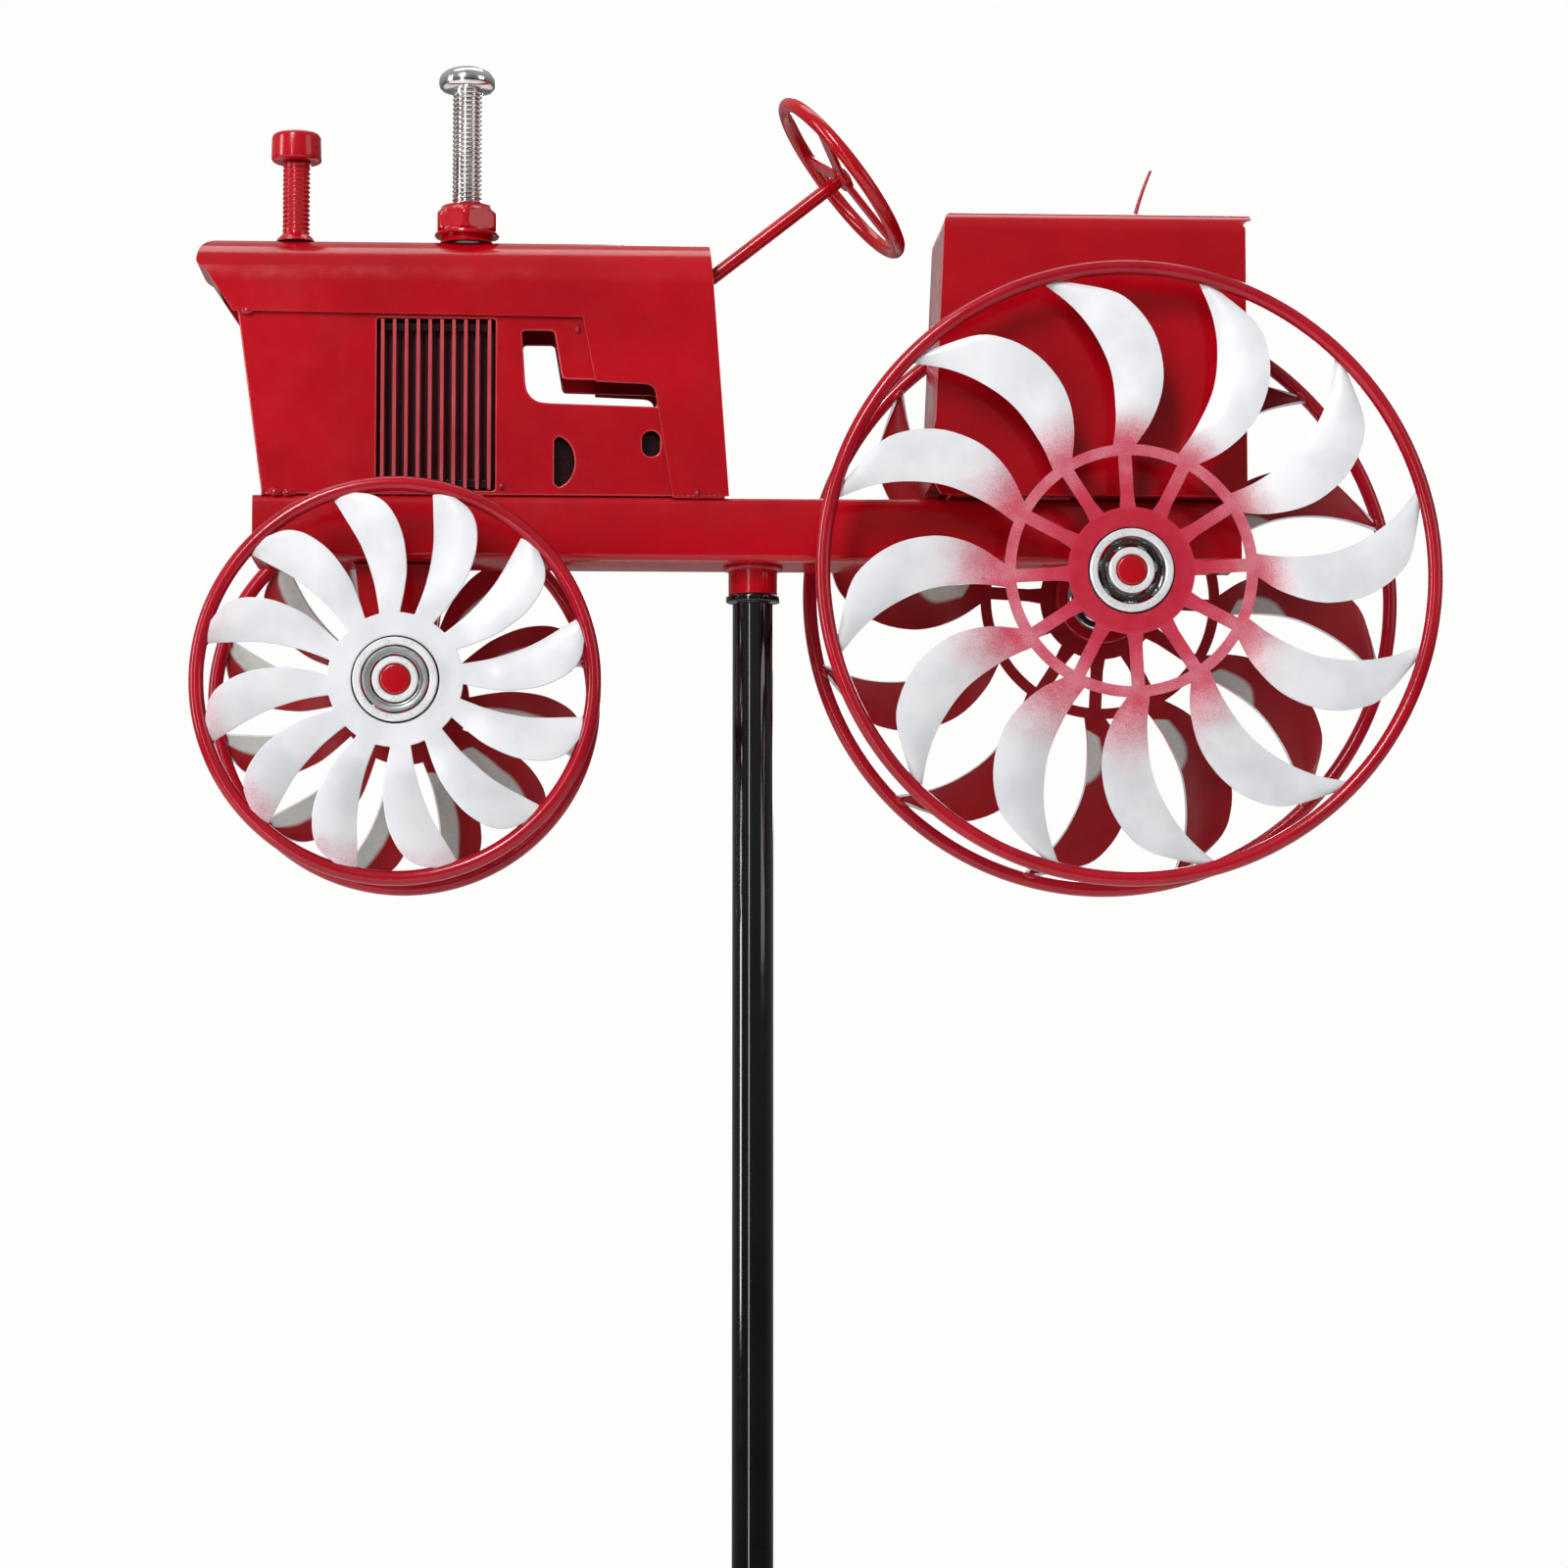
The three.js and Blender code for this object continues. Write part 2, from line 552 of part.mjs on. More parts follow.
// The whole rotor as one outline: out along a blade's leading edge, back along the trailing one,
// and round the root circle to the next blade.
function rotorShape(wheel) {
  const outline = [];
  for (let k = 0; k < BLADES; k += 1) {
    const blade = wheel.firstBlade + k * BLADE_STEP;
    const out = bladeEdge(wheel.convex, blade, 8);
    const back = bladeEdge(wheel.concave, blade, 6).reverse();
    outline.push(...out, ...back);
    const gapStart = blade + wheel.concave[0][0];
    const gapEnd = blade + BLADE_STEP + wheel.convex[0][0];
    for (const share of [1 / 3, 2 / 3]) {
      outline.push(polar(gapStart + (gapEnd - gapStart) * share, wheel.rootRadius));
    }
  }
  const shape = new THREE.Shape(outline);
  const hub = [];
  for (let i = 0; i < BEARING_SEGMENTS; i += 1) {
    hub.push(polar((360 * i) / BEARING_SEGMENTS, BEARING.outer + 0.5));
  }
  shape.holes.push(new THREE.Path(hub));
  if (wheel.ringInner) {
    for (let k = 0; k < BLADES; k += 1) {
      shape.holes.push(spokeWindow(wheel, wheel.firstBlade + (k + 0.5) * BLADE_STEP));
    }
  }
  return shape;
}

// The opening between two spokes, from the hub disc to the ring.
function spokeWindow(wheel, middle) {
  const points = [];
  for (const [radius, order] of [[wheel.ringInner, 1], [wheel.hubRadius, -1]]) {
    const spokeShare = (THREE.MathUtils.RAD2DEG * wheel.spokeWidth) / 2 / radius;
    const reach = BLADE_STEP / 2 - spokeShare;
    for (const share of [-1, 0, 1]) {
      points.push(polar(middle + order * share * reach, radius));
    }
  }
  return new THREE.Path(points);
}

// Each blade is pitched: it leans along Y by its distance from the blade's middle line.
function pitchBlades(geometry, wheel) {
  const position = geometry.attributes.position;
  for (let i = 0; i < position.count; i += 1) {
    const x = position.getX(i);
    const z = position.getZ(i);
    const radius = Math.hypot(x, z);
    const angle = THREE.MathUtils.RAD2DEG * Math.atan2(z, x);
    const turns = (angle - wheel.firstBlade - wheel.middle) / BLADE_STEP;
    const offset = degToRad((turns - Math.round(turns)) * BLADE_STEP) * radius;
    const ramp = smoothstep(radius, wheel.rootRadius + 1, wheel.rootRadius + 12);
    position.setY(i, position.getY(i) + wheel.pitch * offset * ramp);
  }
  return geometry;
}

// The rim is a ring of round bar.
function rimGeometry(wheel) {
  const ring = new THREE.TorusGeometry(wheel.radius - wheel.rimTube, wheel.rimTube, 8, wheel.rimSegments);
  return ring.rotateX(Math.PI / 2);
}

// The raceway groove is 3.6 mm wide at the shoulder and 1.6 mm wide at its floor.
function raceProfile(bore, shoulder, floor) {
  const w = BEARING.halfWidth;
  return [
    [bore, -w], [shoulder, -w], [shoulder, -1.8], [floor, -0.8], [floor, 0.8],
    [shoulder, 1.8], [shoulder, w], [bore, w], [bore, -w],
  ];
}

function cageGeometry() {
  const ribbon = turned(tubeSection(6.8, 8.2, 0.9, 2), BEARING_SEGMENTS);
  const balls = [];
  for (let i = 0; i < BEARING.balls; i += 1) {
    const at = polar((360 * i) / BEARING.balls, BEARING.pitch);
    balls.push(new THREE.OctahedronGeometry(BEARING.ball, 1).translate(at.x, 0, at.y));
  }
  return join(ribbon, ...balls);
}

// One wheel, its outer side facing -Y. The right wheels are the same part turned half round.
function addWheel(group, name, wheel, axle, side) {
  const corner = new THREE.Group();
  corner.position.set(axle.x, side === "left" ? -axle.halfTrack : axle.halfTrack, axle.z);
  corner.rotation.z = side === "left" ? 0 : Math.PI;
  group.add(corner);

  const paint = MATERIALS.redPaint;
  const steel = MATERIALS.bearingSteel;
  place(corner, `${name}_rim`, rimGeometry(wheel), paint);
  const sheet = slab(rotorShape(wheel), SHEET_FACE, SHEET_FACE + SHEET);
  place(corner, `${name}_rotor`, pitchBlades(sheet, wheel), MATERIALS.bladeWhite);

  const cupFront = SHEET_FACE + SHEET + GAP;
  const bore = BEARING.outer + GAP;
  const cup = [
    [bore, cupFront], [bore + 1.5, cupFront], [bore + 1.5, 4.8], [9.8, 4.8], [9.8, 3.8], [bore, 3.8],
    [bore, cupFront],
  ];
  place(corner, `${name}_hub_cup`, turned(cup, BEARING_SEGMENTS), paint);

  const outerRace = raceProfile(BEARING.outer, 9, 9.8).reverse();
  place(corner, `${name}_bearing_outer_ring`, turned(outerRace, BEARING_SEGMENTS), steel);
  const innerRace = raceProfile(BEARING.inner, 6, 5.25);
  place(corner, `${name}_bearing_inner_ring`, turned(innerRace, BEARING_SEGMENTS), steel);
  place(corner, `${name}_ball_cage`, cageGeometry(), steel);
  if (wheel === FRONT_WHEEL) {
    const shield = turned(tubeSection(6.5, 8.5, -3.2, -2.7), BEARING_SEGMENTS);
    place(corner, `${name}_bearing_shield`, shield, steel);
  }
}

// ---------------------------------------------------------------- assembly

const windmill = new THREE.Group();
addGroundFork(windmill);
addPole(windmill);

const tractor = new THREE.Group();
tractor.position.z = CHASSIS_TOP;
windmill.add(tractor);
addChassis(tractor);
addHood(tractor);
addPanels(tractor);
addSteering(tractor);
addStacks(tractor);
addFender(tractor);
addAxles(tractor);
for (const side of ["left", "right"]) {
  addWheel(tractor, `rear_${side}`, REAR_WHEEL, REAR_AXLE, side);
  addWheel(tractor, `front_${side}`, FRONT_WHEEL, FRONT_AXLE, side);
}

export default windmill;
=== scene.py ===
"""Garden windmill: the looks of a tractor-shaped wind spinner on a garden pole.

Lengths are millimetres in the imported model's frame, +Z up with the nose along -X, and they become metres
where a mesh is made. Turned, bent and threaded pieces are made anew at a fine size over the CAD nodes that
they replace. The sheet-metal pieces are the CAD solids with their edges rounded.
"""

import json
import math

import bmesh
import bpy
from mathutils import Matrix, Vector


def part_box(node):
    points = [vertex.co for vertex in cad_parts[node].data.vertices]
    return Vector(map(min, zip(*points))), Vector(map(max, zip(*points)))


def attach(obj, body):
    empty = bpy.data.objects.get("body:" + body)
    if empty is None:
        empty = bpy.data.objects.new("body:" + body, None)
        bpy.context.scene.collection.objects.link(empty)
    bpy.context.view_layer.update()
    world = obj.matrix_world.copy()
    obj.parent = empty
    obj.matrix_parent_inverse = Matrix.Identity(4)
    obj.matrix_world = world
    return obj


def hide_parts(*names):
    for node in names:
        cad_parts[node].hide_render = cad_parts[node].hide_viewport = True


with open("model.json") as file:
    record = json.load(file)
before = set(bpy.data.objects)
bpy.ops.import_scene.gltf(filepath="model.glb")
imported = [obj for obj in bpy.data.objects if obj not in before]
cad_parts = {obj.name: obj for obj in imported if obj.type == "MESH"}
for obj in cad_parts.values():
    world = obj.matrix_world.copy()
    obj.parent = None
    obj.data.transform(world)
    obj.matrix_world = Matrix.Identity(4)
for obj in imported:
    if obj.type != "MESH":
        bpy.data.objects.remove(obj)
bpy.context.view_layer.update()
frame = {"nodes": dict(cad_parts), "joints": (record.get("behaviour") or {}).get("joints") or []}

# ---------------------------------------------------------------- places and driving dimensions

MM = 0.001


def corners(node):
    """Lowest and highest corner of a CAD node, in millimetres."""
    return [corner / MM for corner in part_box(node)]


def middle(node):
    """The middle of a CAD node's box, in millimetres."""
    low, high = corners(node)
    return (low + high) / 2


def joint_point(name):
    """Where a joint's axis passes, in millimetres."""
    joint = next(j for j in frame["joints"] if j["name"] == name)
    return Vector(joint["pos_m"]) / MM


DECK = corners("chassis_beam")[1].z  # top face of the chassis beam
BEAM_FOOT = corners("chassis_beam")[0].z
CROWN = DECK + 70  # top line of the hood
GROUND = corners("fork_prong_front")[0].z

POLE = {"radius": 5.5, "bore": 4.7, "joint": 300, "swage": 2}
COLLAR = {"radius": 6.6, "lip_radius": 7.25, "fillet": 1.9}
COLUMN = {"radius": 1.9, "tilt": math.radians(38.2), "hub": (24, 0, 89)}
STEERING_WHEEL = {"radius": 24.5, "tube": 2.0, "hub": 4, "spoke_width": 4, "spoke_thickness": 1.5}
M8_PITCH = 1.25
M8_THREAD_DEPTH = 0.62

AXLE_RADIUS = 4
BEARING = {"half_width": 3.5, "outer": 11, "inner": 4.15, "pitch": 7.5, "ball": 1.75, "balls": 7}
SHEET = 1.0  # thickness of a rotor
SHEET_MIDDLE = -2.0  # middle of a rotor's sheet, from the wheel's middle plane
HUB_HOLE = 11.45
HUB_ROWS = (15.4, 14, 12.6, HUB_HOLE)  # radii of the hub disc's rings of faces inside its rim
BLADES = 12
BLADE_STEP = 360 / BLADES
CAMBER = 0.7  # how far the middle of a blade bulges out
PITCH = 0.22  # how much a blade leans out of the wheel's plane
RIM_TUBE = 2.0

# A blade's edges run from root to tip as (angle, radius) points. Angles are degrees from the blade's own
# radial line, positive against the clock as seen from outside the wheel. The columns are the angles of the
# mesh lines across a blade's root, and the middle is the angle of the line about which the blade leans.
WHEELS = {
    "rear": {
        "radius": 82.7, "first_blade": 93, "middle": 0,
        "root": 33.3, "ring_inner": 30.4, "hub": 16.7, "spoke": 3.4,
        "concave": [(4.9, 33.3), (2.1, 42), (2.3, 53), (5.2, 63), (8.8, 71.5), (13, 79.6)],
        "convex": [
            (-5.4, 33.3), (-10.6, 39.5), (-12.6, 47), (-11.9, 54),
            (-9, 62), (-4.6, 69), (0.7, 74), (11.4, 79.4),
        ],
        "columns": [-5.4, -4.3, -3.2, -1.6, 0, 1.6, 3.2, 4.05, 4.9],
    },
    "front": {
        "radius": 53.5, "first_blade": 89.5, "middle": 6.8,
        "root": 17.6, "ring_inner": None, "hub": 17.6, "spoke": None,
        "concave": [(14.2, 17.6), (13, 26.4), (14.9, 36), (18.2, 45.2), (19.6, 50)],
        "convex": [(-3.2, 17.6), (-5.2, 24.2), (-5, 30), (-2.1, 38), (2.4, 44.6), (7.1, 48.2), (13, 49.9)],
        "columns": [-3.2, -1, 1.2, 3.4, 5.5, 7.6, 9.8, 12, 14.2],
    },
}
SIDES = {"left": 0.0, "right": math.pi}  # a right wheel is the left one turned half round

# ---------------------------------------------------------------- mesh helpers


def linked(name, data, matrix=Matrix.Identity(4)):
    """A new object in the scene."""
    obj = bpy.data.objects.new(name, data)
    bpy.context.scene.collection.objects.link(obj)
    obj.matrix_world = matrix
    return obj


def new_object(name, vertices, faces, matrix=Matrix.Identity(4)):
    """An object made of these faces, with doubled corners joined and the faces turned outwards."""
    mesh = bpy.data.meshes.new(name)
    mesh.from_pydata([[c * MM for c in v] for v in vertices], [], faces)
    work = bmesh.new()
    work.from_mesh(mesh)
    bmesh.ops.remove_doubles(work, verts=work.verts, dist=1e-6)
    bmesh.ops.recalc_face_normals(work, faces=work.faces)
    work.to_mesh(mesh)
    work.free()
    return linked(name, mesh, matrix)


def settle(obj):
    """Makes the result of the object's modifiers its mesh."""
    depsgraph = bpy.context.evaluated_depsgraph_get()
    mesh = bpy.data.meshes.new_from_object(obj.evaluated_get(depsgraph))
    obj.modifiers.clear()
    obj.data = mesh


def soften(obj, width, edge_material):
    """Rounds the object's sharp edges. The roundings take the material, or -1 the neighbouring one."""
    bevel = obj.modifiers.new("bevel", "BEVEL")
    bevel.width = width * MM
    bevel.segments = 3
    bevel.limit_method = "ANGLE"
    bevel.angle_limit = math.radians(28)
    bevel.use_clamp_overlap = True
    bevel.material = edge_material


def shade(obj, sharp):
    """Smooth shading, broken at edges sharper than an angle in degrees."""
    for polygon in obj.data.polygons:
        polygon.use_smooth = True
    obj.data.set_sharp_from_angle(angle=math.radians(sharp))


def piece(obj, body, slot, materials, nodes=(), edge=0.0, sharp=40, edge_material=-1, flat=False):
    """Finishes a piece: rounded edges, smooth shading, material, body and the nodes it stands for. The slot
    is not used.

    A piece that is flat or has rounded edges gets normals weighted by the size of its faces.
    """
    for material in materials:
        obj.data.materials.append(material)
    if edge:
        soften(obj, edge, edge_material)
    if edge or flat or obj.modifiers:
        weighted = obj.modifiers.new("normals", "WEIGHTED_NORMAL")
        weighted.keep_sharp = True
        shade(obj, 180)
        settle(obj)
    else:
        shade(obj, sharp)
    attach(obj, body)
    if nodes:
        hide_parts(*nodes)


def ring_faces(pairs):
    """Faces between pairs of closed rings of vertices. A ring on the axis is one vertex repeated."""
    faces = []
    for lower, upper in pairs:
        for i in range(len(lower)):
            j = (i + 1) % len(lower)
            faces.append(list(dict.fromkeys([lower[i], lower[j], upper[j], upper[i]])))
    return faces


def turned(profile, segments=96):
    """A profile of (radius, height) points turned about Z. A radius may be a function of the angle."""
    vertices, rows = [], []
    for radius, height in profile:
        if radius == 0:
            rows.append([len(vertices)] * segments)
            vertices.append((0, 0, height))
            continue
        rows.append(list(range(len(vertices), len(vertices) + segments)))
        for i in range(segments):
            angle = math.tau * i / segments
            r = radius(angle) if callable(radius) else radius
            vertices.append((r * math.cos(angle), r * math.sin(angle), height))
    pairs = list(zip(rows, rows[1:]))
    if profile[0][0] != 0:
        pairs.append((rows[-1], rows[0]))
    return vertices, ring_faces(pairs)


def filleted(outline, radius, steps=4):
    """An outline with its corners rounded. Points on the axis stay as they are."""
    result = []
    for i, point in enumerate(outline):
        if point[0] == 0:
            result.append(point)
            continue
        here = Vector(point)
        before = Vector(outline[i - 1]) - here
        after = Vector(outline[(i + 1) % len(outline)]) - here
        reach = min(radius, 0.45 * before.length, 0.45 * after.length)
        start = here + before.normalized() * reach
        end = here + after.normalized() * reach
        for k in range(steps + 1):
            t = k / steps
            result.append(tuple(start.lerp(here, t).lerp(here.lerp(end, t), t)))
    return result


def tube_profile(inner, outer, low, high):
    """The section of a tube."""
    return [(inner, low), (outer, low), (outer, high), (inner, high)]


def placed(mesh, matrix):
    """A mesh's vertices moved by a matrix, in millimetres."""
    vertices, faces = mesh
    return [tuple(matrix @ Vector(v)) for v in vertices], faces


def joined(*meshes):
    """Several meshes as one."""
    vertices, faces = [], []
    for part_vertices, part_faces in meshes:
        base = len(vertices)
        vertices += part_vertices
        faces += [[base + i for i in face] for face in part_faces]
    return vertices, faces


def at(x, y, z):
    """A shift."""
    return Matrix.Translation((x, y, z))


def about(axis, angle):
    """A turn about an axis, in radians."""
    return Matrix.Rotation(angle, 4, axis)


ALONG_Y = about("X", math.radians(90))  # a piece turned about Z lies along Y, its top towards -Y


def swept(path, radius, sides=14, closed=False):
    """A round bar along a path of points. The radius may be a function of the place from 0 to 1."""
    points = [Vector(p) for p in path]
    count = len(points)
    vertices, rows = [], []
    for i, point in enumerate(points):
        if closed:
            tangent = points[(i + 1) % count] - points[i - 1]
        else:
            tangent = points[min(i + 1, count - 1)] - points[max(i - 1, 0)]
        tangent.normalize()
        reference = Vector((0, 0, 1)) if abs(tangent.z) < 0.9 else Vector((0, 1, 0))
        side = tangent.cross(reference).normalized()
        up = side.cross(tangent)
        r = radius(i / (count - 1)) if callable(radius) else radius
        rows.append(list(range(len(vertices), len(vertices) + sides)))
        for k in range(sides):
            angle = math.tau * k / sides
            vertices.append(tuple(point + r * (math.cos(angle) * side + math.sin(angle) * up)))
    if closed:
        return vertices, ring_faces(zip(rows, rows[1:] + rows[:1]))
    return vertices, ring_faces(zip(rows, rows[1:])) + [rows[0][::-1], rows[-1]]


def circle(radius, count):
    """Evenly spaced points of a circle about Z."""
    angles = [math.tau * i / count for i in range(count)]
    return [(radius * math.cos(a), radius * math.sin(a), 0) for a in angles]


def ball(radius, segments=20, rings=12):
    """A round mesh with its poles on Z."""
    profile = [(0, -radius)]
    for i in range(1, rings):
        a = math.pi * i / rings - math.pi / 2
        profile.append((radius * math.cos(a), radius * math.sin(a)))
    return turned(profile + [(0, radius)], segments)


def box_mesh(low, high):
    """A box between two corners."""
    (x0, y0, z0), (x1, y1, z1) = low, high
    vertices = [(x, y, z) for x in (x0, x1) for y in (y0, y1) for z in (z0, z1)]
    faces = [(0, 1, 3, 2), (4, 6, 7, 5), (0, 4, 5, 1), (2, 3, 7, 6), (0, 2, 6, 4), (1, 5, 7, 3)]
    return vertices, [list(face) for face in faces]


def rounded_box(u0, u1, v0, v1, r):
    """A rectangle's outline with round corners, each an arc of a quarter turn."""
    right, left, low, high = u1 - r, u0 + r, v0 + r, v1 - r
    points = []
    for u, v, quarter in ((right, low, -1), (right, high, 0), (left, high, 1), (left, low, 2)):
        for k in range(9):
            a = (quarter + k / 8) * math.pi / 2
            points.append((u + r * math.cos(a), v + r * math.sin(a)))
    return points


def plate(name, loops, y):
    """A flat sheet in X and Z with rounded edges. The first loop is its outline, the others are holes."""
    thickness, edge = 1.0, 0.42
    curve = bpy.data.curves.new(name, "CURVE")
    curve.dimensions = "2D"
    curve.fill_mode = "BOTH"
    curve.extrude = (thickness / 2 - edge) * MM
    curve.bevel_depth = edge * MM
    curve.bevel_resolution = 2
    curve.offset = -edge * MM
    for loop in loops:
        spline = curve.splines.new("POLY")
        spline.points.add(len(loop) - 1)
        for point, (u, v) in zip(spline.points, loop):
            point.co = (u * MM, v * MM, 0, 1)
        spline.use_cyclic_u = True
    drawn = linked(name, curve)
    flat = bpy.data.meshes.new_from_object(drawn.evaluated_get(bpy.context.evaluated_depsgraph_get()))
    upright = at(0, y * MM, 0) @ about("X", math.pi / 2)
    vertices = [tuple((upright @ v.co) / MM) for v in flat.vertices]
    faces = [list(p.vertices) for p in flat.polygons]
    bpy.data.objects.remove(drawn)
    return new_object(name, vertices, faces)


def refined(node):
    """A copy of a CAD solid with its split vertices joined and its flat faces merged."""
    source = frame["nodes"][node].data
    vertices = [tuple(v.co / MM) for v in source.vertices]
    faces = [list(p.vertices) for p in source.polygons]
    obj = new_object(f"{node}_fine", vertices, faces)
    work = bmesh.new()
    work.from_mesh(obj.data)
    bmesh.ops.dissolve_limit(work, angle_limit=math.radians(1), verts=work.verts, edges=work.edges)
    work.to_mesh(obj.data)
    work.free()
    return obj


# ---------------------------------------------------------------- material helpers


class Shader:
    """A material under construction, with short ways to add and join its nodes."""

    def __init__(self, name, **surface):
        self.material = bpy.data.materials.new(name)
        self.material.use_nodes = True
        self.tree = self.material.node_tree
        self.surface = self.tree.nodes["Principled BSDF"]
        for key, value in surface.items():
            self.surface.inputs[key.replace("_", " ")].default_value = value

    def add(self, kind, **values):
        """A node with its properties and input values set."""
        node = self.tree.nodes.new("ShaderNode" + kind)
        for key, value in values.items():
            if hasattr(node, key):
                setattr(node, key, value)
            else:
                node.inputs[key.replace("_", " ")].default_value = value
        return node

    def join(self, source, target):
        self.tree.links.new(source, target)

    def place(self):
        return self.add("TexCoord").outputs["Object"]

    def noise(self, scale, detail=4.0, roughness=0.55):
        node = self.add("TexNoise", Scale=scale, Detail=detail, Roughness=roughness)
        self.join(self.place(), node.inputs["Vector"])
        return node.outputs["Fac"]

    def feed(self, value, socket):
        """Gives an input another node's output, a colour or a number."""
        if isinstance(value, bpy.types.NodeSocket):
            self.join(value, socket)
        else:
            socket.default_value = (*value, 1) if isinstance(value, tuple) else value

    def ramp(self, source, low, high, start=0.0, end=1.0):
        """A value that goes smoothly from start to end while the source goes from low to high."""
        node = self.add("MapRange", From_Min=low, From_Max=high, To_Min=start, To_Max=end)
        node.interpolation_type = "SMOOTHSTEP"
        self.join(source, node.inputs["Value"])
        return node.outputs["Result"]

    def blend(self, share, first, second):
        """A colour between two, each a colour or a socket."""
        node = self.add("Mix", data_type="RGBA")
        colours = [s for s in node.inputs if s.type == "RGBA"]
        self.feed(first, colours[0])
        self.feed(second, colours[1])
        self.join(share, node.inputs["Factor"])
        return next(s for s in node.outputs if s.type == "RGBA")

    def maths(self, operation, first, second):
        node = self.add("Math", operation=operation)
        self.feed(first, node.inputs[0])
        self.feed(second, node.inputs[1])
        return node.outputs["Value"]

    def attribute(self, name):
        return self.add("Attribute", attribute_name=name).outputs["Fac"]

    def colour(self, socket):
        self.join(socket, self.surface.inputs["Base Color"])

    def rough(self, source, low, high):
        self.join(self.ramp(source, 0.3, 0.7, low, high), self.surface.inputs["Roughness"])

    def bump(self, height, strength, distance):
        node = self.add("Bump", Strength=strength, Distance=distance)
        self.join(height, node.inputs["Height"])
        self.join(node.outputs["Normal"], self.surface.inputs["Normal"])


def enamel(name, base, shade_colour, peel=0.10):
    """Gloss paint: slow colour variation, fine pigment grain, orange peel and an uneven gloss."""
    shader = Shader(name, Coat_Weight=0.12, Coat_Roughness=0.05, Specular_IOR_Level=0.3)
    body = shader.blend(shader.ramp(shader.noise(28, 3), 0.35, 0.68), base, shade_colour)
    grain = shader.ramp(shader.noise(1500, 2), 0.55, 0.8, 0, 0.10)
    shader.colour(shader.blend(grain, body, GRAIN_PINK))
    shader.rough(shader.noise(120, 3), 0.13, 0.22)
    shader.bump(shader.noise(620, 2, 0.4), peel, 0.0002)
    return shader.material


BODY_RED = (0.375, 0.0012, 0.0065)
BODY_SHADE = (0.30, 0.0008, 0.005)
WHEEL_RED = (0.33, 0.004, 0.014)
GRAIN_PINK = (0.50, 0.03, 0.05)
HUB_CRIMSON = (0.38, 0.010, 0.030)
SPRAY_PINK = (0.46, 0.045, 0.085)
PEARL = (0.63, 0.63, 0.655)


def rotor_paint():
    """Pearl white with the red sprayed on where the mesh's spray value says, breaking up into dots."""
    shader = Shader("rotor_pearl_paint", Coat_Weight=0.15, Coat_Roughness=0.2, Specular_IOR_Level=0.3)
    spray = shader.attribute("spray")
    dots = shader.ramp(shader.noise(3200, 2), 0.3, 0.7, -0.10, 0.10)
    cloud = shader.ramp(shader.noise(160, 3), 0.3, 0.7, -0.06, 0.06)
    speckle = shader.maths("MULTIPLY", dots, shader.ramp(spray, 0.02, 0.4))
    amount = shader.maths("ADD", shader.maths("ADD", spray, cloud), speckle)
    cover = shader.ramp(amount, 0.04, 0.95)
    white = shader.blend(shader.ramp(shader.noise(60, 3), 0.35, 0.7), PEARL, (0.53, 0.54, 0.56))
    light_spray = shader.blend(cover, white, SPRAY_PINK)
    deep = shader.ramp(amount, 0.7, 1.2)
    painted = shader.blend(deep, light_spray, HUB_CRIMSON)
    shader.colour(painted)
    shader.rough(shader.noise(300, 3), 0.3, 0.48)
    shader.bump(shader.noise(1100, 2), 0.10, 0.0002)
    return shader.material


def rotor_back():
    """The inner face: dark red overspray, grey in a strip along the concave edge."""
    shader = Shader("rotor_back_paint", Coat_Weight=0.1, Coat_Roughness=0.2, Specular_IOR_Level=0.25)
    wander = shader.ramp(shader.noise(60, 2), 0.3, 0.7, -0.03, 0.03)
    place = shader.maths("ADD", shader.attribute("grey_strip"), wander)
    grey = shader.blend(shader.noise(700, 3), (0.36, 0.36, 0.34), (0.50, 0.50, 0.48))
    red = shader.blend(shader.noise(120, 3), (0.19, 0.001, 0.004), (0.25, 0.002, 0.007))
    shader.colour(shader.blend(shader.ramp(place, 0.44, 0.56), red, grey))
    shader.rough(shader.noise(300, 3), 0.38, 0.55)
    shader.bump(shader.noise(900, 2), 0.1, 0.0002)
    return shader.material


def metal(name, colour, stain_colour, low, high, ringed, strength=0.12, metallic=1.0):
    """Turned or plated steel, with a roughness from low to high. Ringed steel has turning marks."""
    shader = Shader(name, Metallic=metallic)
    stain = shader.ramp(shader.noise(180, 4), 0.4, 0.72)
    shader.colour(shader.blend(stain, colour, stain_colour))
    shader.rough(shader.noise(420, 4), low, high)
    if ringed:
        wave = shader.add("TexWave", wave_type="RINGS", rings_direction="Y", Scale=1100, Distortion=0.6)
        shader.join(shader.place(), wave.inputs["Vector"])
        shader.bump(wave.outputs["Fac"], strength, 0.00003)
    else:
        shader.bump(shader.noise(900, 4), strength, 0.00006)
    return shader.material


def black_gloss():
    """The pole's gloss paint: nearly black, with a little dust."""
    shader = Shader("black_gloss_enamel", Coat_Weight=0.3, Coat_Roughness=0.05, Specular_IOR_Level=0.5)
    mottle = shader.ramp(shader.noise(40, 4), 0.3, 0.7)
    body = shader.blend(mottle, (0.0015, 0.0015, 0.0017), (0.003, 0.003, 0.0034))
    dust = shader.ramp(shader.noise(2300, 2), 0.74, 0.84, 0, 0.02)
    shader.colour(shader.blend(dust, body, (0.12, 0.12, 0.115)))
    shader.rough(shader.noise(200, 4), 0.06, 0.11)
    shader.bump(shader.noise(480, 2), 0.03, 0.0001)
    return shader.material


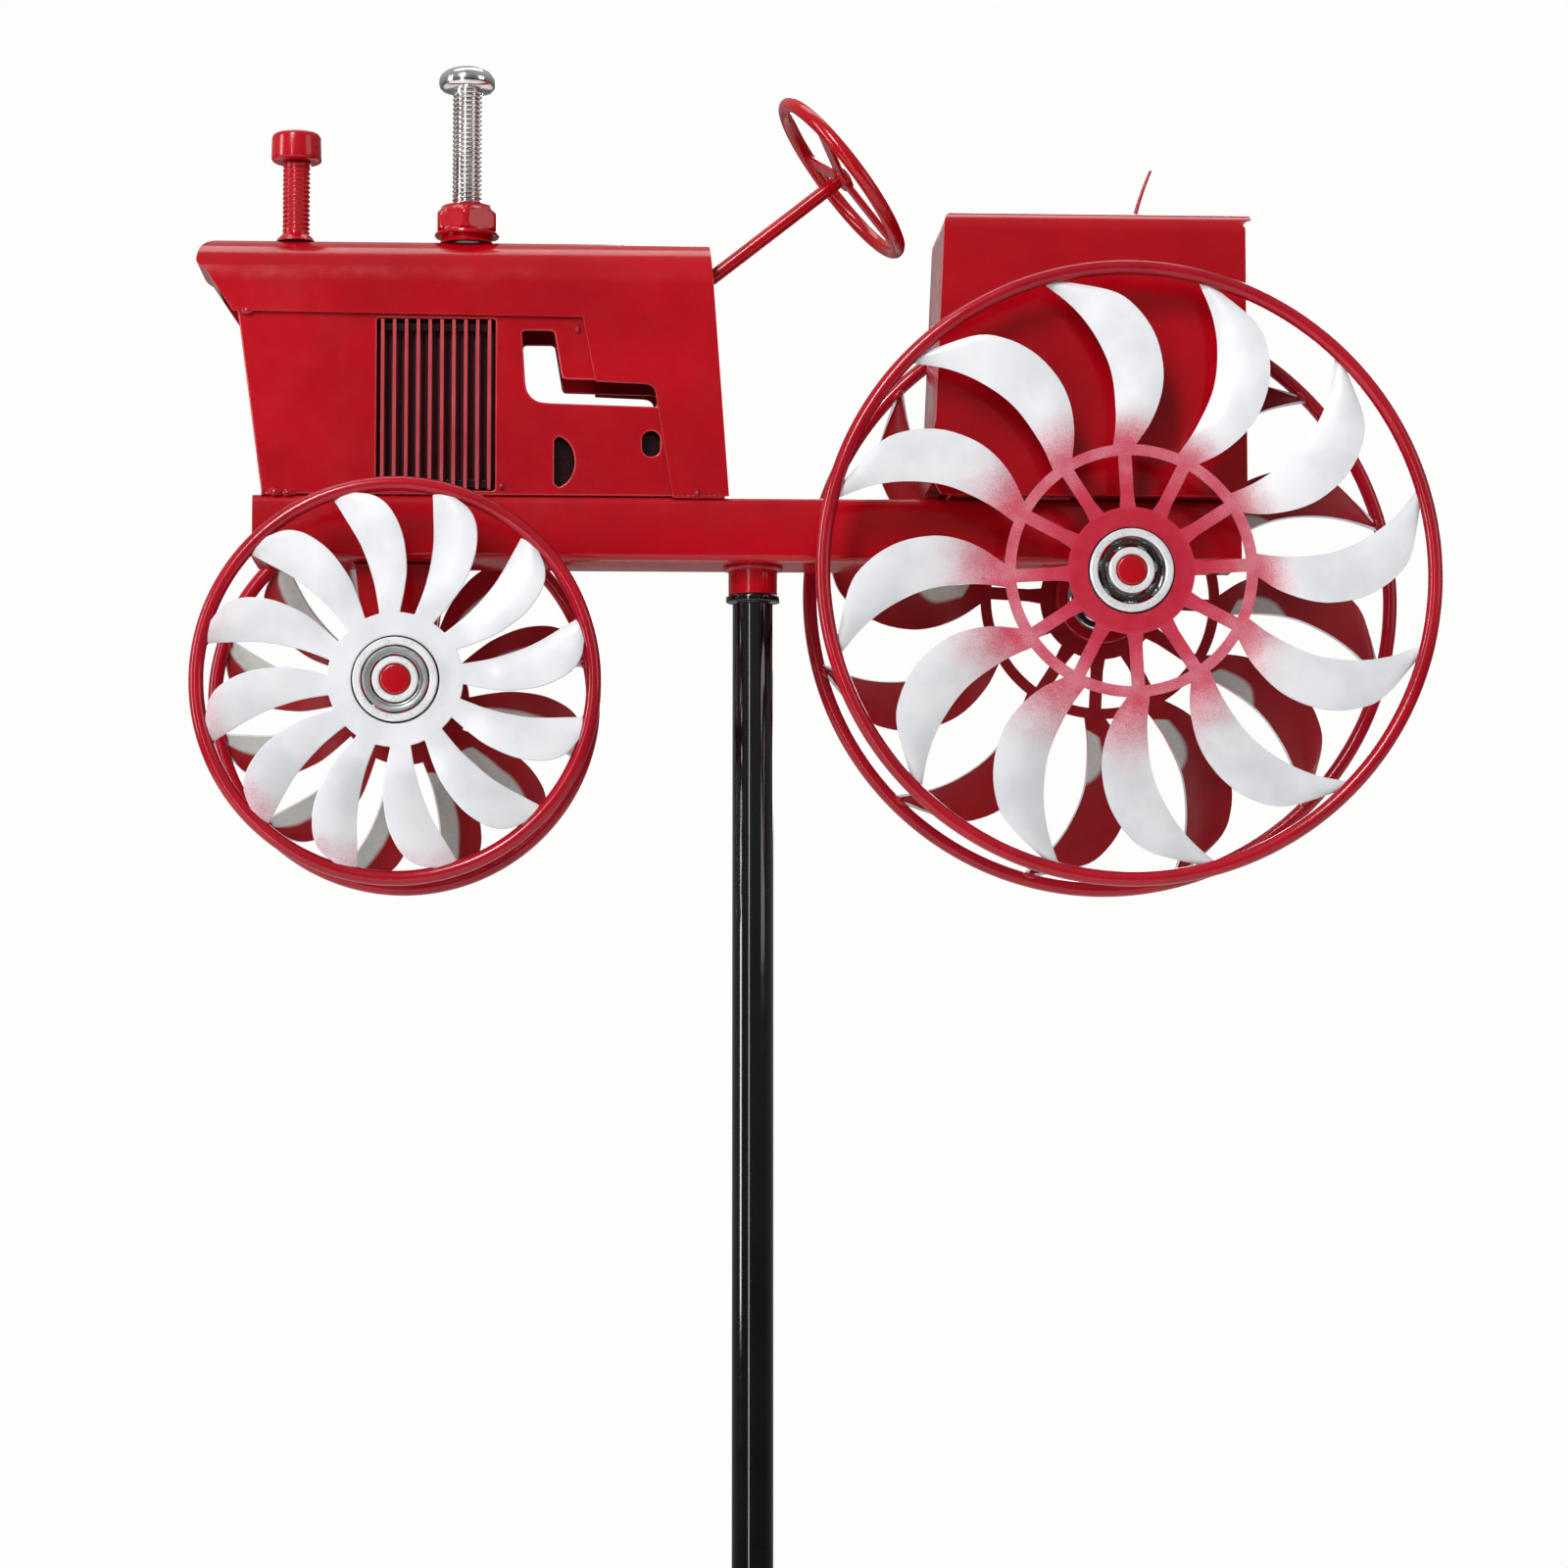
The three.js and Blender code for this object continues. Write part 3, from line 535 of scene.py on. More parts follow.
def core_shade_paint():
    """The block behind the grilles: dark red with fine upright fins. The dark red is painted shade behind
    the grilles, and the bands between the fins are darker still as painted shade.
    """
    shader = Shader("core_painted_shade_red", Coat_Weight=0.1)
    wave = shader.add("TexWave", wave_type="BANDS", bands_direction="X", Scale=260, Distortion=0.0)
    shader.join(shader.place(), wave.inputs["Vector"])
    shader.colour(shader.blend(wave.outputs["Fac"], (0.03, 0.0005, 0.002), (0.12, 0.002, 0.007)))
    shader.rough(shader.noise(200), 0.45, 0.6)
    shader.bump(wave.outputs["Fac"], 0.5, 0.0005)
    return shader.material


RED = enamel("body_red_enamel", BODY_RED, BODY_SHADE)
# Rounded edges take a lighter pink red: the paint is thinner there, and the red is also a painted highlight
# along the edges.
EDGE_THIN_AND_HIGHLIGHT_RED = enamel("edge_thin_paint_and_highlight_red", (0.50, 0.055, 0.065), (0.40, 0.02, 0.03))
# The grilles take a pinker red all over, a painted highlight on their thin slats.
SLAT_HIGHLIGHT_RED = enamel("slat_painted_highlight_enamel", (0.42, 0.075, 0.085), (0.36, 0.03, 0.042))
RIM_RED = enamel("rim_red_enamel", WHEEL_RED, (0.25, 0.002, 0.009))
WELD_RED = enamel("weld_red_enamel", (0.33, 0.003, 0.010), (0.24, 0.001, 0.006), 0.2)
BLACK = black_gloss()
CORE_SHADE = core_shade_paint()
# A near-black red: painted shade inside the hood, on the engine block and deep in the grilles.
INNER_SHADE_RED = enamel("inner_painted_shade_red", (0.035, 0.0006, 0.002), (0.012, 0.0004, 0.001), 0.3)
CHROME = metal("bright_plate", (0.74, 0.74, 0.72), (0.55, 0.55, 0.53), 0.10, 0.22, False, strength=0.05)
STEEL = metal(
    "bearing_steel_ground", (0.72, 0.72, 0.73), (0.62, 0.63, 0.64), 0.26, 0.36, True, metallic=0.35
)
# The cage ribbon is near-black: painted shade in the gap between the bearing's rings.
CAGE_SHADE_STEEL = metal("cage_painted_shade_steel", (0.05, 0.05, 0.05), (0.025, 0.025, 0.025), 0.35, 0.5, False)
SHIELD_STEEL = metal("shield_steel", (0.26, 0.27, 0.27), (0.18, 0.19, 0.19), 0.3, 0.45, True, metallic=0.5)
ROTOR_FRONT = rotor_paint()
ROTOR_BACK = rotor_back()

# Body, slot and material of a piece that is painted all over.
TRACTOR_RED = ("tractor", "body_red", [RED])
TRACTOR_WELD = ("tractor", "body_red", [WELD_RED])
POLE_BLACK = ("pole", "black_paint", [BLACK])

# ---------------------------------------------------------------- wheels


def smooth_edge(knots, count):
    """Evenly spaced (angle, radius) points along a smooth curve through a blade edge's points."""
    flat = [Vector((r * math.cos(math.radians(a)), r * math.sin(math.radians(a)))) for a, r in knots]
    dense = []
    for i in range(len(flat) - 1):
        p0, p1 = flat[max(i - 1, 0)], flat[i]
        p2, p3 = flat[i + 1], flat[min(i + 2, len(flat) - 1)]
        start, end = (p2 - p0) / 2, (p3 - p1) / 2
        for k in range(24):
            t = k / 24
            cubic = (2 * p1 - 2 * p2 + start + end) * t**3
            dense.append(cubic + (3 * p2 - 3 * p1 - 2 * start - end) * t**2 + start * t + p1)
    dense.append(flat[-1])
    lengths = [0.0]
    for a, b in zip(dense, dense[1:]):
        lengths.append(lengths[-1] + (b - a).length)
    result, i = [], 0
    for k in range(count + 1):
        target = lengths[-1] * k / count
        while i < len(lengths) - 2 and lengths[i + 1] < target:
            i += 1
        share = (target - lengths[i]) / (lengths[i + 1] - lengths[i])
        point = dense[i].lerp(dense[i + 1], share)
        result.append((math.degrees(math.atan2(point.y, point.x)), point.length))
    return result


def grid_faces(rows, base):
    """The faces of a patch of rows, its vertices counted from base."""
    width = len(rows[0])
    faces = []
    for i in range(len(rows) - 1):
        for j in range(width - 1):
            a = base + i * width + j
            faces.append([a, a + 1, a + width + 1, a + width])
    return faces


def smoothstep(x, low, high):
    """A smooth rise from 0 at low to 1 at high."""
    t = min(max((x - low) / (high - low), 0), 1)
    return t * t * (3 - 2 * t)


def rotor_surface(wheel):
    """The rotor's middle surface as rows of (angle, radius, share across the blade) patches."""
    patches = []
    columns = wheel["columns"]
    spread = columns[-1] - columns[0]
    shares = [(c - columns[0]) / spread for c in columns]
    rows = 30
    convex = smooth_edge(wheel["convex"], rows)
    concave = smooth_edge(wheel["concave"], rows)
    gap = [columns[-1] + (BLADE_STEP - spread) * k / 8 for k in range(1, 9)]
    for blade in range(BLADES):
        turn = wheel["first_blade"] + blade * BLADE_STEP
        sheet = []
        for (a0, r0), (a1, r1) in zip(convex, concave):
            sheet.append([(turn + a0 + (a1 - a0) * s, r0 + (r1 - r0) * s, s) for s in shares])
        patches.append(sheet)
        root = [turn + c for c in columns + gap]
        if wheel["spoke"]:
            ring_middle = (wheel["root"] + wheel["ring_inner"]) / 2
            ring_rows = (wheel["root"], ring_middle, wheel["ring_inner"])
            patches.append([[(a, r, 0) for a in root] for r in ring_rows])
            steps = [-1, -0.5, 0, 0.5, 1]
            arm = []
            for k in range(9):
                r = wheel["ring_inner"] + (wheel["hub"] - wheel["ring_inner"]) * k / 8
                flare = 1 + 0.25 * smoothstep(k, 6, 8)
                reach = math.degrees(wheel["spoke"] / 2 / r) * flare
                arm.append([(turn + s * reach, r, 0) for s in steps])
            patches.append(arm)
            reach = arm[-1][-1][0] - turn
            hub = [turn + s * reach for s in steps]
            hub += [turn + reach + (BLADE_STEP - 2 * reach) * k / 8 for k in range(1, 9)]
        else:
            hub = root
        patches.append([[(a, r, 0) for a in hub] for r in (wheel["hub"], *HUB_ROWS)])
    return patches


def spray_amount(wheel, angle, radius):
    """How much red lies on a spot: the rear hub and spokes are red and fade into the blades."""
    low_left = math.cos(math.radians(angle - 225))
    if wheel["spoke"]:
        if radius < wheel["hub"]:
            return 1.3
        if radius < wheel["root"] + 0.1:
            return 1.0 - 0.22 * smoothstep(radius, wheel["hub"], wheel["ring_inner"])
        reach = 23 + 9 * low_left
        return 0.86 * (1 - smoothstep(radius, wheel["root"] - 3, wheel["root"] + reach)) ** 1.15
    return (0.12 + 0.34 * max(low_left, 0)) * smoothstep(radius, 37, 50)


def grey_strip_share(wheel, radius, share):
    """How grey the inner face is: near the root, along the concave edge."""
    start = smoothstep(radius, wheel["root"] + 1, wheel["root"] + 5)
    if not wheel["spoke"]:
        return 0.92 * share * start
    span = wheel["radius"] - wheel["root"]
    fade = 1 - smoothstep(radius, wheel["root"] + 0.2 * span, wheel["root"] + 0.6 * span)
    return 0.85 * share * start * fade


def make_rotor(name, wheel, matrix, body, node):
    """The wheel's one sheet: hub disc and blades, and on a rear wheel the spokes and their ring."""
    vertices, faces, spray, grey_strip = [], [], [], []
    for rows in rotor_surface(wheel):
        base = len(vertices)
        blade_patch = rows[0][0][2] != rows[0][-1][2]
        for row in rows:
            for angle, radius, share in row:
                turns = (angle - wheel["first_blade"] - wheel["middle"]) / BLADE_STEP
                offset = math.radians((turns - round(turns)) * BLADE_STEP) * radius
                ramp = smoothstep(radius, wheel["root"] + 1, wheel["root"] + 12)
                lean = PITCH * offset * ramp
                bulge = -CAMBER * (1 - (2 * share - 1) ** 2) * ramp if blade_patch else 0
                a = math.radians(angle)
                vertices.append((radius * math.cos(a), SHEET_MIDDLE + lean + bulge, radius * math.sin(a)))
                spray.append(spray_amount(wheel, angle, radius))
                grey_strip.append(grey_strip_share(wheel, radius, share) if blade_patch else 0)
        # The faces of every patch are turned to the same side.
        new_faces = grid_faces(rows, base)
        a, b, c = (Vector(vertices[i]) for i in new_faces[0][:3])
        facing_in = (b - a).cross(c - b).y > 0
        faces += [face[::-1] for face in new_faces] if facing_in else new_faces
    mesh = bpy.data.meshes.new(name)
    mesh.from_pydata([[c * MM for c in v] for v in vertices], [], faces)
    for attribute, values in (("spray", spray), ("grey_strip", grey_strip)):
        mesh.attributes.new(attribute, "FLOAT", "POINT").data.foreach_set("value", values)
    work = bmesh.new()
    work.from_mesh(mesh)
    bmesh.ops.remove_doubles(work, verts=work.verts, dist=2e-5)
    work.to_mesh(mesh)
    work.free()
    obj = linked(name, mesh, matrix)
    thicken = obj.modifiers.new("sheet", "SOLIDIFY")
    thicken.thickness = SHEET * MM
    thicken.offset = 0
    thicken.material_offset = 1
    piece(obj, body, "blade_white", [ROTOR_FRONT, ROTOR_BACK], [node], 0.3)


def rim_mesh(wheel):
    """A ring of round bar, a little thicker where its two ends are welded together."""
    weld_at = 0.25

    def radius(place):
        distance = abs((place - weld_at + 0.5) % 1 - 0.5)
        return RIM_TUBE * (0.985 + 0.015 * math.exp(-((distance / 0.006) ** 2)))

    ring = swept(circle(wheel["radius"] - RIM_TUBE, 240), radius, 24, True)
    return placed(ring, ALONG_Y)


def tack_welds(wheel):
    """Small beads where each blade's tip meets the rim."""
    angle, radius = wheel["concave"][-1]
    beads = []
    for k in range(BLADES):
        a = math.radians(wheel["first_blade"] + angle - 1.2 + k * BLADE_STEP)
        lean = PITCH * math.radians(angle - wheel["middle"]) * radius
        bead = placed(ball(1.0, 14, 8), about("Y", -a) @ Matrix.Diagonal((0.9, 1.1, 1.9, 1)))
        beads.append(placed(bead, at(radius * math.cos(a), SHEET_MIDDLE + lean, radius * math.sin(a))))
    return joined(*beads)


def race(bore, shoulder, floor):
    """A bearing ring's section: chamfered shoulders and a round groove."""
    w = BEARING["half_width"]
    chamfer = 0.35
    c = math.copysign(chamfer, shoulder - bore)
    groove = []
    for k in range(9):
        a = math.pi * k / 8
        groove.append((shoulder + (floor - shoulder) * math.sin(a), -1.7 * math.cos(a)))
    start = [(bore, chamfer - w), (bore + c, -w), (shoulder - c, -w), (shoulder, chamfer - w)]
    end = [(shoulder, w - chamfer), (shoulder - c, w), (bore + c, w), (bore, w - chamfer)]
    return start + groove + end


def make_bearing(prefix, matrix, wheel_body, cage_body, shielded):
    """Two rings with grooves, seven balls in a riveted ribbon cage, and for a front wheel a shield."""
    for name, bore, shoulder, floor, body in (
        ("outer", BEARING["outer"], 9.0, 9.75, wheel_body),
        ("inner", BEARING["inner"], 6.0, 5.3, "tractor"),
    ):
        mesh = placed(turned(race(bore, shoulder, floor)), ALONG_Y)
        ring = new_object(f"{prefix}_{name}_race", *mesh, matrix)
        piece(ring, body, "bearing_steel", [STEEL], [f"{prefix}_bearing_{name}_ring"], sharp=25)

    ribbon_inner, ribbon_outer, ribbon_low = 6.9, 8.1, 1.0
    ribbon = turned(filleted(tube_profile(ribbon_inner, ribbon_outer, ribbon_low, 1.9), 0.3))
    ribbon_back = placed(ribbon, about("X", math.pi))
    balls = []
    for k in range(BEARING["balls"]):
        a = math.tau * (k + 0.25) / BEARING["balls"]
        spot = at(BEARING["pitch"] * math.cos(a), BEARING["pitch"] * math.sin(a), 0)
        balls.append(placed(ball(BEARING["ball"]), spot))
        rivet = at(BEARING["pitch"] * math.cos(a + 0.45), BEARING["pitch"] * math.sin(a + 0.45), 1.8)
        balls.append(placed(ball(0.5, 12, 8), rivet))
    mesh = placed(joined(ribbon, ribbon_back, *balls), ALONG_Y)
    cage = new_object(f"{prefix}_balls_and_cage", *mesh, matrix)
    piece(cage, cage_body, "bearing_steel", [CAGE_SHADE_STEEL, CHROME], [f"{prefix}_ball_cage"])
    # Balls and rivets are chrome. The ribbon stays near-black, painted shade in the gap between the rings.
    for polygon in cage.data.polygons:
        out = math.hypot(polygon.center.x, polygon.center.z) / MM
        in_ribbon = ribbon_inner - 0.02 <= out <= ribbon_outer + 0.02
        if abs(polygon.center.y) / MM < ribbon_low - 0.02 or not in_ribbon:
            polygon.material_index = 1

    if shielded:
        front = [(6.5, 3.2), (6.7, 2.75), (7.1, 2.7), (7.4, 2.95), (8.1, 3.0), (8.35, 2.8), (8.5, 2.7)]
        back = [(8.5, 3.25), (8.2, 3.3), (7.3, 3.25), (7.0, 3.05), (6.8, 3.3)]
        shield = new_object(f"{prefix}_shield", *placed(turned(front + back), ALONG_Y), matrix)
        piece(shield, wheel_body, "bearing_steel", [SHIELD_STEEL], [f"{prefix}_bearing_shield"], sharp=50)


def make_wheel(end, side):
    """A bladed wheel: rim, rotor, tack welds, hub cup and bearing."""
    wheel = WHEELS[end]
    prefix = f"{end}_{side}"
    body = f"{prefix}_wheel"
    centre = joint_point(f"{prefix}_spin")
    matrix = Matrix.Translation(centre * MM) @ about("Z", SIDES[side])

    rim = new_object(f"{prefix}_rim_ring", *rim_mesh(wheel), matrix)
    piece(rim, body, "wheel_red", [RIM_RED], [f"{prefix}_rim"], sharp=180)

    make_rotor(f"{prefix}_blades", wheel, matrix, body, f"{prefix}_rotor")

    tacks = new_object(f"{prefix}_tack_welds", *tack_welds(wheel), matrix)
    piece(tacks, body, "wheel_red", [WELD_RED], sharp=180)

    # The cup holds the bearing's outer ring and has a lip behind it.
    cup_profile = [(11.3, 1.2), (12.8, 1.2), (12.8, -4.8), (9.8, -4.8), (9.8, -3.8), (11.3, -3.8)]
    cup = new_object(f"{prefix}_cup", *placed(turned(filleted(cup_profile, 0.5)), ALONG_Y), matrix)
    piece(cup, body, "wheel_red", [RIM_RED], [f"{prefix}_hub_cup"], sharp=180)

    make_bearing(prefix, matrix, body, f"{prefix}_cage", end == "front")


for wheel_end in WHEELS:
    for wheel_side in SIDES:
        make_wheel(wheel_end, wheel_side)

# ---------------------------------------------------------------- sheet-metal body

# Deeper than this a grille is painted near-black as shade.
SLAT_DEPTH = 2.3  # a grille is dark further in than this

# How far each sheet piece's edges are rounded.
SHEET_PIECES = {
    "hood": 0.5,
    "grille_left": 0.36,
    "grille_right": 0.36,
    "front_plate": 0.3,
    "rear_bulkhead": 0.3,
    "chassis_beam": 0.0,
    "fender_box": 0.4,
    "fender_floor": 0.3,
    "front_axle_post": 0.6,
}
for node_name, edge_width in SHEET_PIECES.items():
    sheet_piece = refined(node_name)
    is_grille = node_name.startswith("grille")
    # Sheet pieces take the body red, with their rounded edges in a lighter red for thinner paint and a
    # painted highlight. Grilles take a pinker red as a painted highlight, and their deep faces take a
    # near-black red as painted shade.
    paints = [SLAT_HIGHLIGHT_RED, SLAT_HIGHLIGHT_RED, INNER_SHADE_RED] if is_grille else [RED, EDGE_THIN_AND_HIGHLIGHT_RED]
    piece(sheet_piece, "tractor", "body_red", paints, [node_name], edge_width, 35, edge_material=1)
    if is_grille:
        rail_depth = max(abs(corner.y) for corner in corners(node_name)) - SLAT_DEPTH
        # Faces further in than the rails take the near-black red of painted shade.
        for polygon in sheet_piece.data.polygons:
            if abs(polygon.center.y) / MM < rail_depth:
                polygon.material_index = 2


def panel_loops():
    """The side panel's outline and its four openings, as (x, height above the deck) points.

    The bend is the L-shaped opening, and the oval has one straight side.
    """
    outline = [(-130.5, 0.3), (-9.5, 0.3), (-13.6, 56), (-137.6, 56), (-137.2, 49)]
    bend = [(-62, 44.5), (-53.5, 44.5), (-51.3, 31.5), (-26, 31), (-26, 24.3)]
    bend += [(-55.2, 25.1), (-57.8, 25.5), (-59.6, 26.7), (-60.7, 28.5), (-61.1, 31)]
    grille = [(-100.4, 1.5), (-69, 1.5), (-69, 47.5), (-100.4, 47.5)]
    bulge = [math.radians(-78 + 156 * k / 24) for k in range(25)]
    oval = [(-53.3, 3.7)] + [(-53.3 + 5.4 * math.cos(t), 9.4 + 6.9 * math.sin(t)) for t in bulge]
    oval += [(-53.3, 15.1)]
    loops = [
        filleted(outline, 0.8),
        filleted(bend, 1.1),
        filleted(grille, 0.8),
        oval,
        rounded_box(-30, -25.2, 11, 17.8, 2.3),
    ]
    return [[(u, v + DECK) for u, v in loop] for loop in loops]


for panel_side in SIDES:
    node_name = f"side_panel_{panel_side}"
    panel = plate(f"{node_name}_sheet", panel_loops(), middle(node_name).y)
    piece(panel, "tractor", "body_red", [RED, EDGE_THIN_AND_HIGHLIGHT_RED], [node_name], flat=True)
    # Faces that do not face along Y are the rounded edges. They take the lighter red of thin paint and a
    # painted highlight.
    for polygon in panel.data.polygons:
        polygon.material_index = int(abs(polygon.normal.y) < 0.97)

# The radiator core and the engine block are painted dark red, as the shade inside the hood.
for core_name, painted_shade_material in (("radiator_core", CORE_SHADE), ("engine_block", INNER_SHADE_RED)):
    piece(refined(core_name), "tractor", "body_red", [painted_shade_material], [core_name], 0.5)

pin = frame["nodes"]["swivel_pin"]
pin.data.materials.clear()
pin.data.materials.append(STEEL)

# ---------------------------------------------------------------- welds


def weld(name, path, radius, finish=TRACTOR_WELD, closed=False):
    """A bead with the ripples of a hand-made weld."""
    ripples = len(path) / 4

    def swell(place):
        return radius * (1 + 0.09 * math.sin(place * ripples * math.tau))

    piece(new_object(name, *swept(path, swell, 12, closed)), *finish, sharp=180)


def blob(name, spot, half_size):
    """A single tack of weld metal."""
    bead = placed(ball(1.0), at(*spot) @ Matrix.Diagonal((*half_size, 1)))
    piece(new_object(name, *bead), *TRACTOR_WELD, sharp=180)


def line(start, end, count):
    """Evenly spaced points from start to end."""
    a, b = Vector(start), Vector(end)
    return [tuple(a.lerp(b, k / (count - 1))) for k in range(count)]


def ring_path(height, radius):
    """A circle about the pole's axis."""
    return [tuple(at(0, 0, height) @ Vector(p)) for p in circle(radius, 72)]


# Tacks on each side panel: name, x, height above the deck and half sizes.
TACKS = (
    ("nose", -134.6, 49.0, (1.9, 1.3, 1.1)),
    ("beam_front_a", -126.8, 0.6, (2.2, 1.6, 1.3)),
    ("beam_front_b", -123.6, 0.4, (1.7, 1.5, 1.1)),
    ("grille_foot", -67.3, 2.6, (0.7, 0.5, 0.9)),
    ("step", -47.2, 44.8, (0.7, 0.6, 1.0)),
    ("cowl_foot", -15.4, 0.9, (0.9, 1.9, 1.6)),
)


def make_welds():
    """The beads and tacks that hold the tractor's frame together."""
    weld("collar_weld", ring_path(BEAM_FOOT - 0.3, COLLAR["radius"] + 0.4), 1.0, closed=True)
    panel_y, tack_y, panel_foot = 12.3, 12.1, DECK + 0.2
    for side, out in (("left", -1), ("right", 1)):
        y = panel_y * out
        weld(f"panel_foot_weld_{side}", line((-130.5, y, panel_foot), (-121.5, y, panel_foot), 24), 0.55)
        y *= 1.03
        weld(f"cowl_foot_weld_{side}", line((-22, y, panel_foot), (-8, y, panel_foot), 40), 0.6)
        for name, x, z, half_size in TACKS:
            blob(f"{name}_tack_{side}", (x, tack_y * out, DECK + z), half_size)
    post_x, post_half, z = middle("front_axle").x, 12.125, BEAM_FOOT - 0.2
    for end, x in (("front", post_x - post_half), ("rear", post_x + post_half)):
        for side, y0, y1 in (("left", -5.85, -3.575), ("right", 3.575, 5.85)):
            weld(f"axle_post_weld_{end}_{side}", line((x, y0, z), (x, y1, z), 14), 0.6)
    fender_y, z = 13.4, DECK + 0.4
    for side, y in (("left", -fender_y), ("right", fender_y)):
        weld(f"fender_weld_{side}", line((62, y, z), (84, y, z), 50), 0.6)
    hub = Vector(COLUMN["hub"]) + Vector((0, 0, DECK))
    along = Vector((math.cos(COLUMN["tilt"]), 0, math.sin(COLUMN["tilt"])))
    seat = hub - along * ((hub.x - corners("steering_column")[0].x - 0.2) / along.x)
    outline = circle(COLUMN["radius"] + 0.15, 48)
    ring = [(seat.x - z * 0.07, y, seat.z + z / along.x) for y, z, _ in outline]
    weld("column_weld", ring, 0.45, closed=True)


make_welds()

# ---------------------------------------------------------------- chassis collar, axles and spacers


def turned_piece(name, node, profile, fillet, finish=POLE_BLACK, spot=(0, 0, 0), axis="Z", segments=96):
    """A turned piece that stands for a CAD node, its axis through a spot."""
    mesh = turned(filleted(profile, fillet), segments)
    if axis == "Y":
        mesh = placed(mesh, ALONG_Y)
    piece(new_object(name, *mesh, at(*(Vector(spot) * MM))), *finish, [node], sharp=180)


def make_collar():
    """The red socket over the swivel pin: a skin that flares into its weld, and a blind bore."""
    low, high = corners("swivel_socket")
    radius, bore = COLLAR["radius"], 4.35
    skin = [(bore, low.z), (radius, low.z), (radius, BEAM_FOOT - COLLAR["fillet"])]
    skin += [(radius + 0.25, BEAM_FOOT - 0.8), (radius + 1.1, BEAM_FOOT - 0.1)]
    skin += [(radius, BEAM_FOOT + 0.4), (radius, high.z)]
    outside = turned(filleted(skin, 0.35)[:-1] + [(radius, high.z), (0, high.z)])
    inside = turned([(bore, low.z), (bore, high.z - 5.2), (0, high.z - 5.2)])
    collar = new_object("pivot_collar", *joined(outside, inside))
    piece(collar, *TRACTOR_RED, ["swivel_socket"], sharp=180)


def make_axles():
    """Each axle with a spacer at both ends."""
    for end in WHEELS:
        node = f"{end}_axle"
        low, high = corners(node)
        half = (high.y - low.y) / 2
        shaft = [(0, -half), (AXLE_RADIUS, -half), (AXLE_RADIUS, half), (0, half)]
        turned_piece(f"{node}_shaft", node, shaft, 0.7, TRACTOR_RED, middle(node), "Y", 64)
        for side in SIDES:
            node = f"{end}_{side}_spacer"
            low, high = corners(node)
            half = (high.y - low.y) / 2
            tube = tube_profile(4.2, (high.x - low.x) / 2, -half, half)
            turned_piece(f"{node}_tube", node, tube, 0.4, TRACTOR_RED, middle(node), "Y", 64)


make_collar()
make_axles()

# ---------------------------------------------------------------- steering


def spoke_mesh(length):
    """A flat spoke along X with bevelled edges, which widens towards the hub and the ring."""
    half, thick, bevel = STEERING_WHEEL["spoke_width"] / 2, STEERING_WHEEL["spoke_thickness"] / 2, 0.35
    vertices, rows = [], []
    for i in range(13):
        w = half * (1 + 0.35 * smoothstep(abs(i / 12 - 0.5), 0.34, 0.5))
        section = [
            (-w + bevel, -thick), (w - bevel, -thick), (w, -thick + bevel), (w, thick - bevel),
            (w - bevel, thick), (-w + bevel, thick), (-w, thick - bevel), (-w, -thick + bevel),
        ]
        rows.append(list(range(len(vertices), len(vertices) + len(section))))
        vertices += [(length * i / 12, y, z) for y, z in section]
    return vertices, ring_faces(zip(rows, rows[1:])) + [rows[0][::-1], rows[-1]]


def make_steering():
    """The column, and the wheel with its three spokes and hub."""
    hub = Vector(COLUMN["hub"]) + Vector((0, 0, DECK))
    tilt = COLUMN["tilt"]
    along = Vector((math.cos(tilt), 0, math.sin(tilt)))
    start = hub - along * ((hub.x - corners("steering_column")[0].x) / along.x - 1.2)
    bar = swept([start, hub - along * 0.4], COLUMN["radius"], 40)
    piece(new_object("steering_column_bar", *bar), *TRACTOR_RED, ["steering_column"])

    radius, boss = STEERING_WHEEL["radius"], STEERING_WHEEL["hub"]
    knob = [(0, -1.4), (boss * 0.8, -1.4), (boss, -0.6), (boss, 1.1), (2.4, 2.0), (0, 2.3)]
    meshes = [swept(circle(radius, 160), STEERING_WHEEL["tube"], 24, True), turned(filleted(knob, 0.5), 64)]
    meshes += [placed(spoke_mesh(radius), about("Z", math.radians(120 * k))) for k in range(3)]
    place = at(*(hub * MM)) @ about("Y", math.pi / 2 - tilt)
    steering = new_object("steering_ring_and_spokes", *joined(*meshes), place)
    piece(steering, *TRACTOR_RED, ["steering_wheel"], sharp=35)


make_steering()

# ---------------------------------------------------------------- stacks


def thread_rows(radius, low, high, depth):
    """Profile rows of a right-hand M8 thread between two heights, eight to a turn."""
    rows = []
    count = int((high - low) / M8_PITCH * 8)
    for k in range(count + 1):
        height = low + (high - low) * k / count
        fade = min(1, (height - low) / 1.2, (high - height) / 1.2 + 0.15)

        def surface(angle, height=height, fade=fade):
            turn = (height / M8_PITCH - angle / math.tau) % 1
            crest = 0.5 - 0.5 * math.cos(math.tau * turn)
            return radius - depth * fade * (1 - crest**0.8)

        rows.append((surface, height))
    return rows


def hexagon(apothem):
    """A hexagon's radius as a function of the angle."""

    def surface(angle):
        return apothem / math.cos(((angle + math.pi / 6) % (math.pi / 3)) - math.pi / 6)

    return surface


def chamfered_hexagon(apothem, limit):
    """A hexagon with its corners turned off at a radius."""
    flat = hexagon(apothem)
    return lambda angle: min(flat(angle), limit)


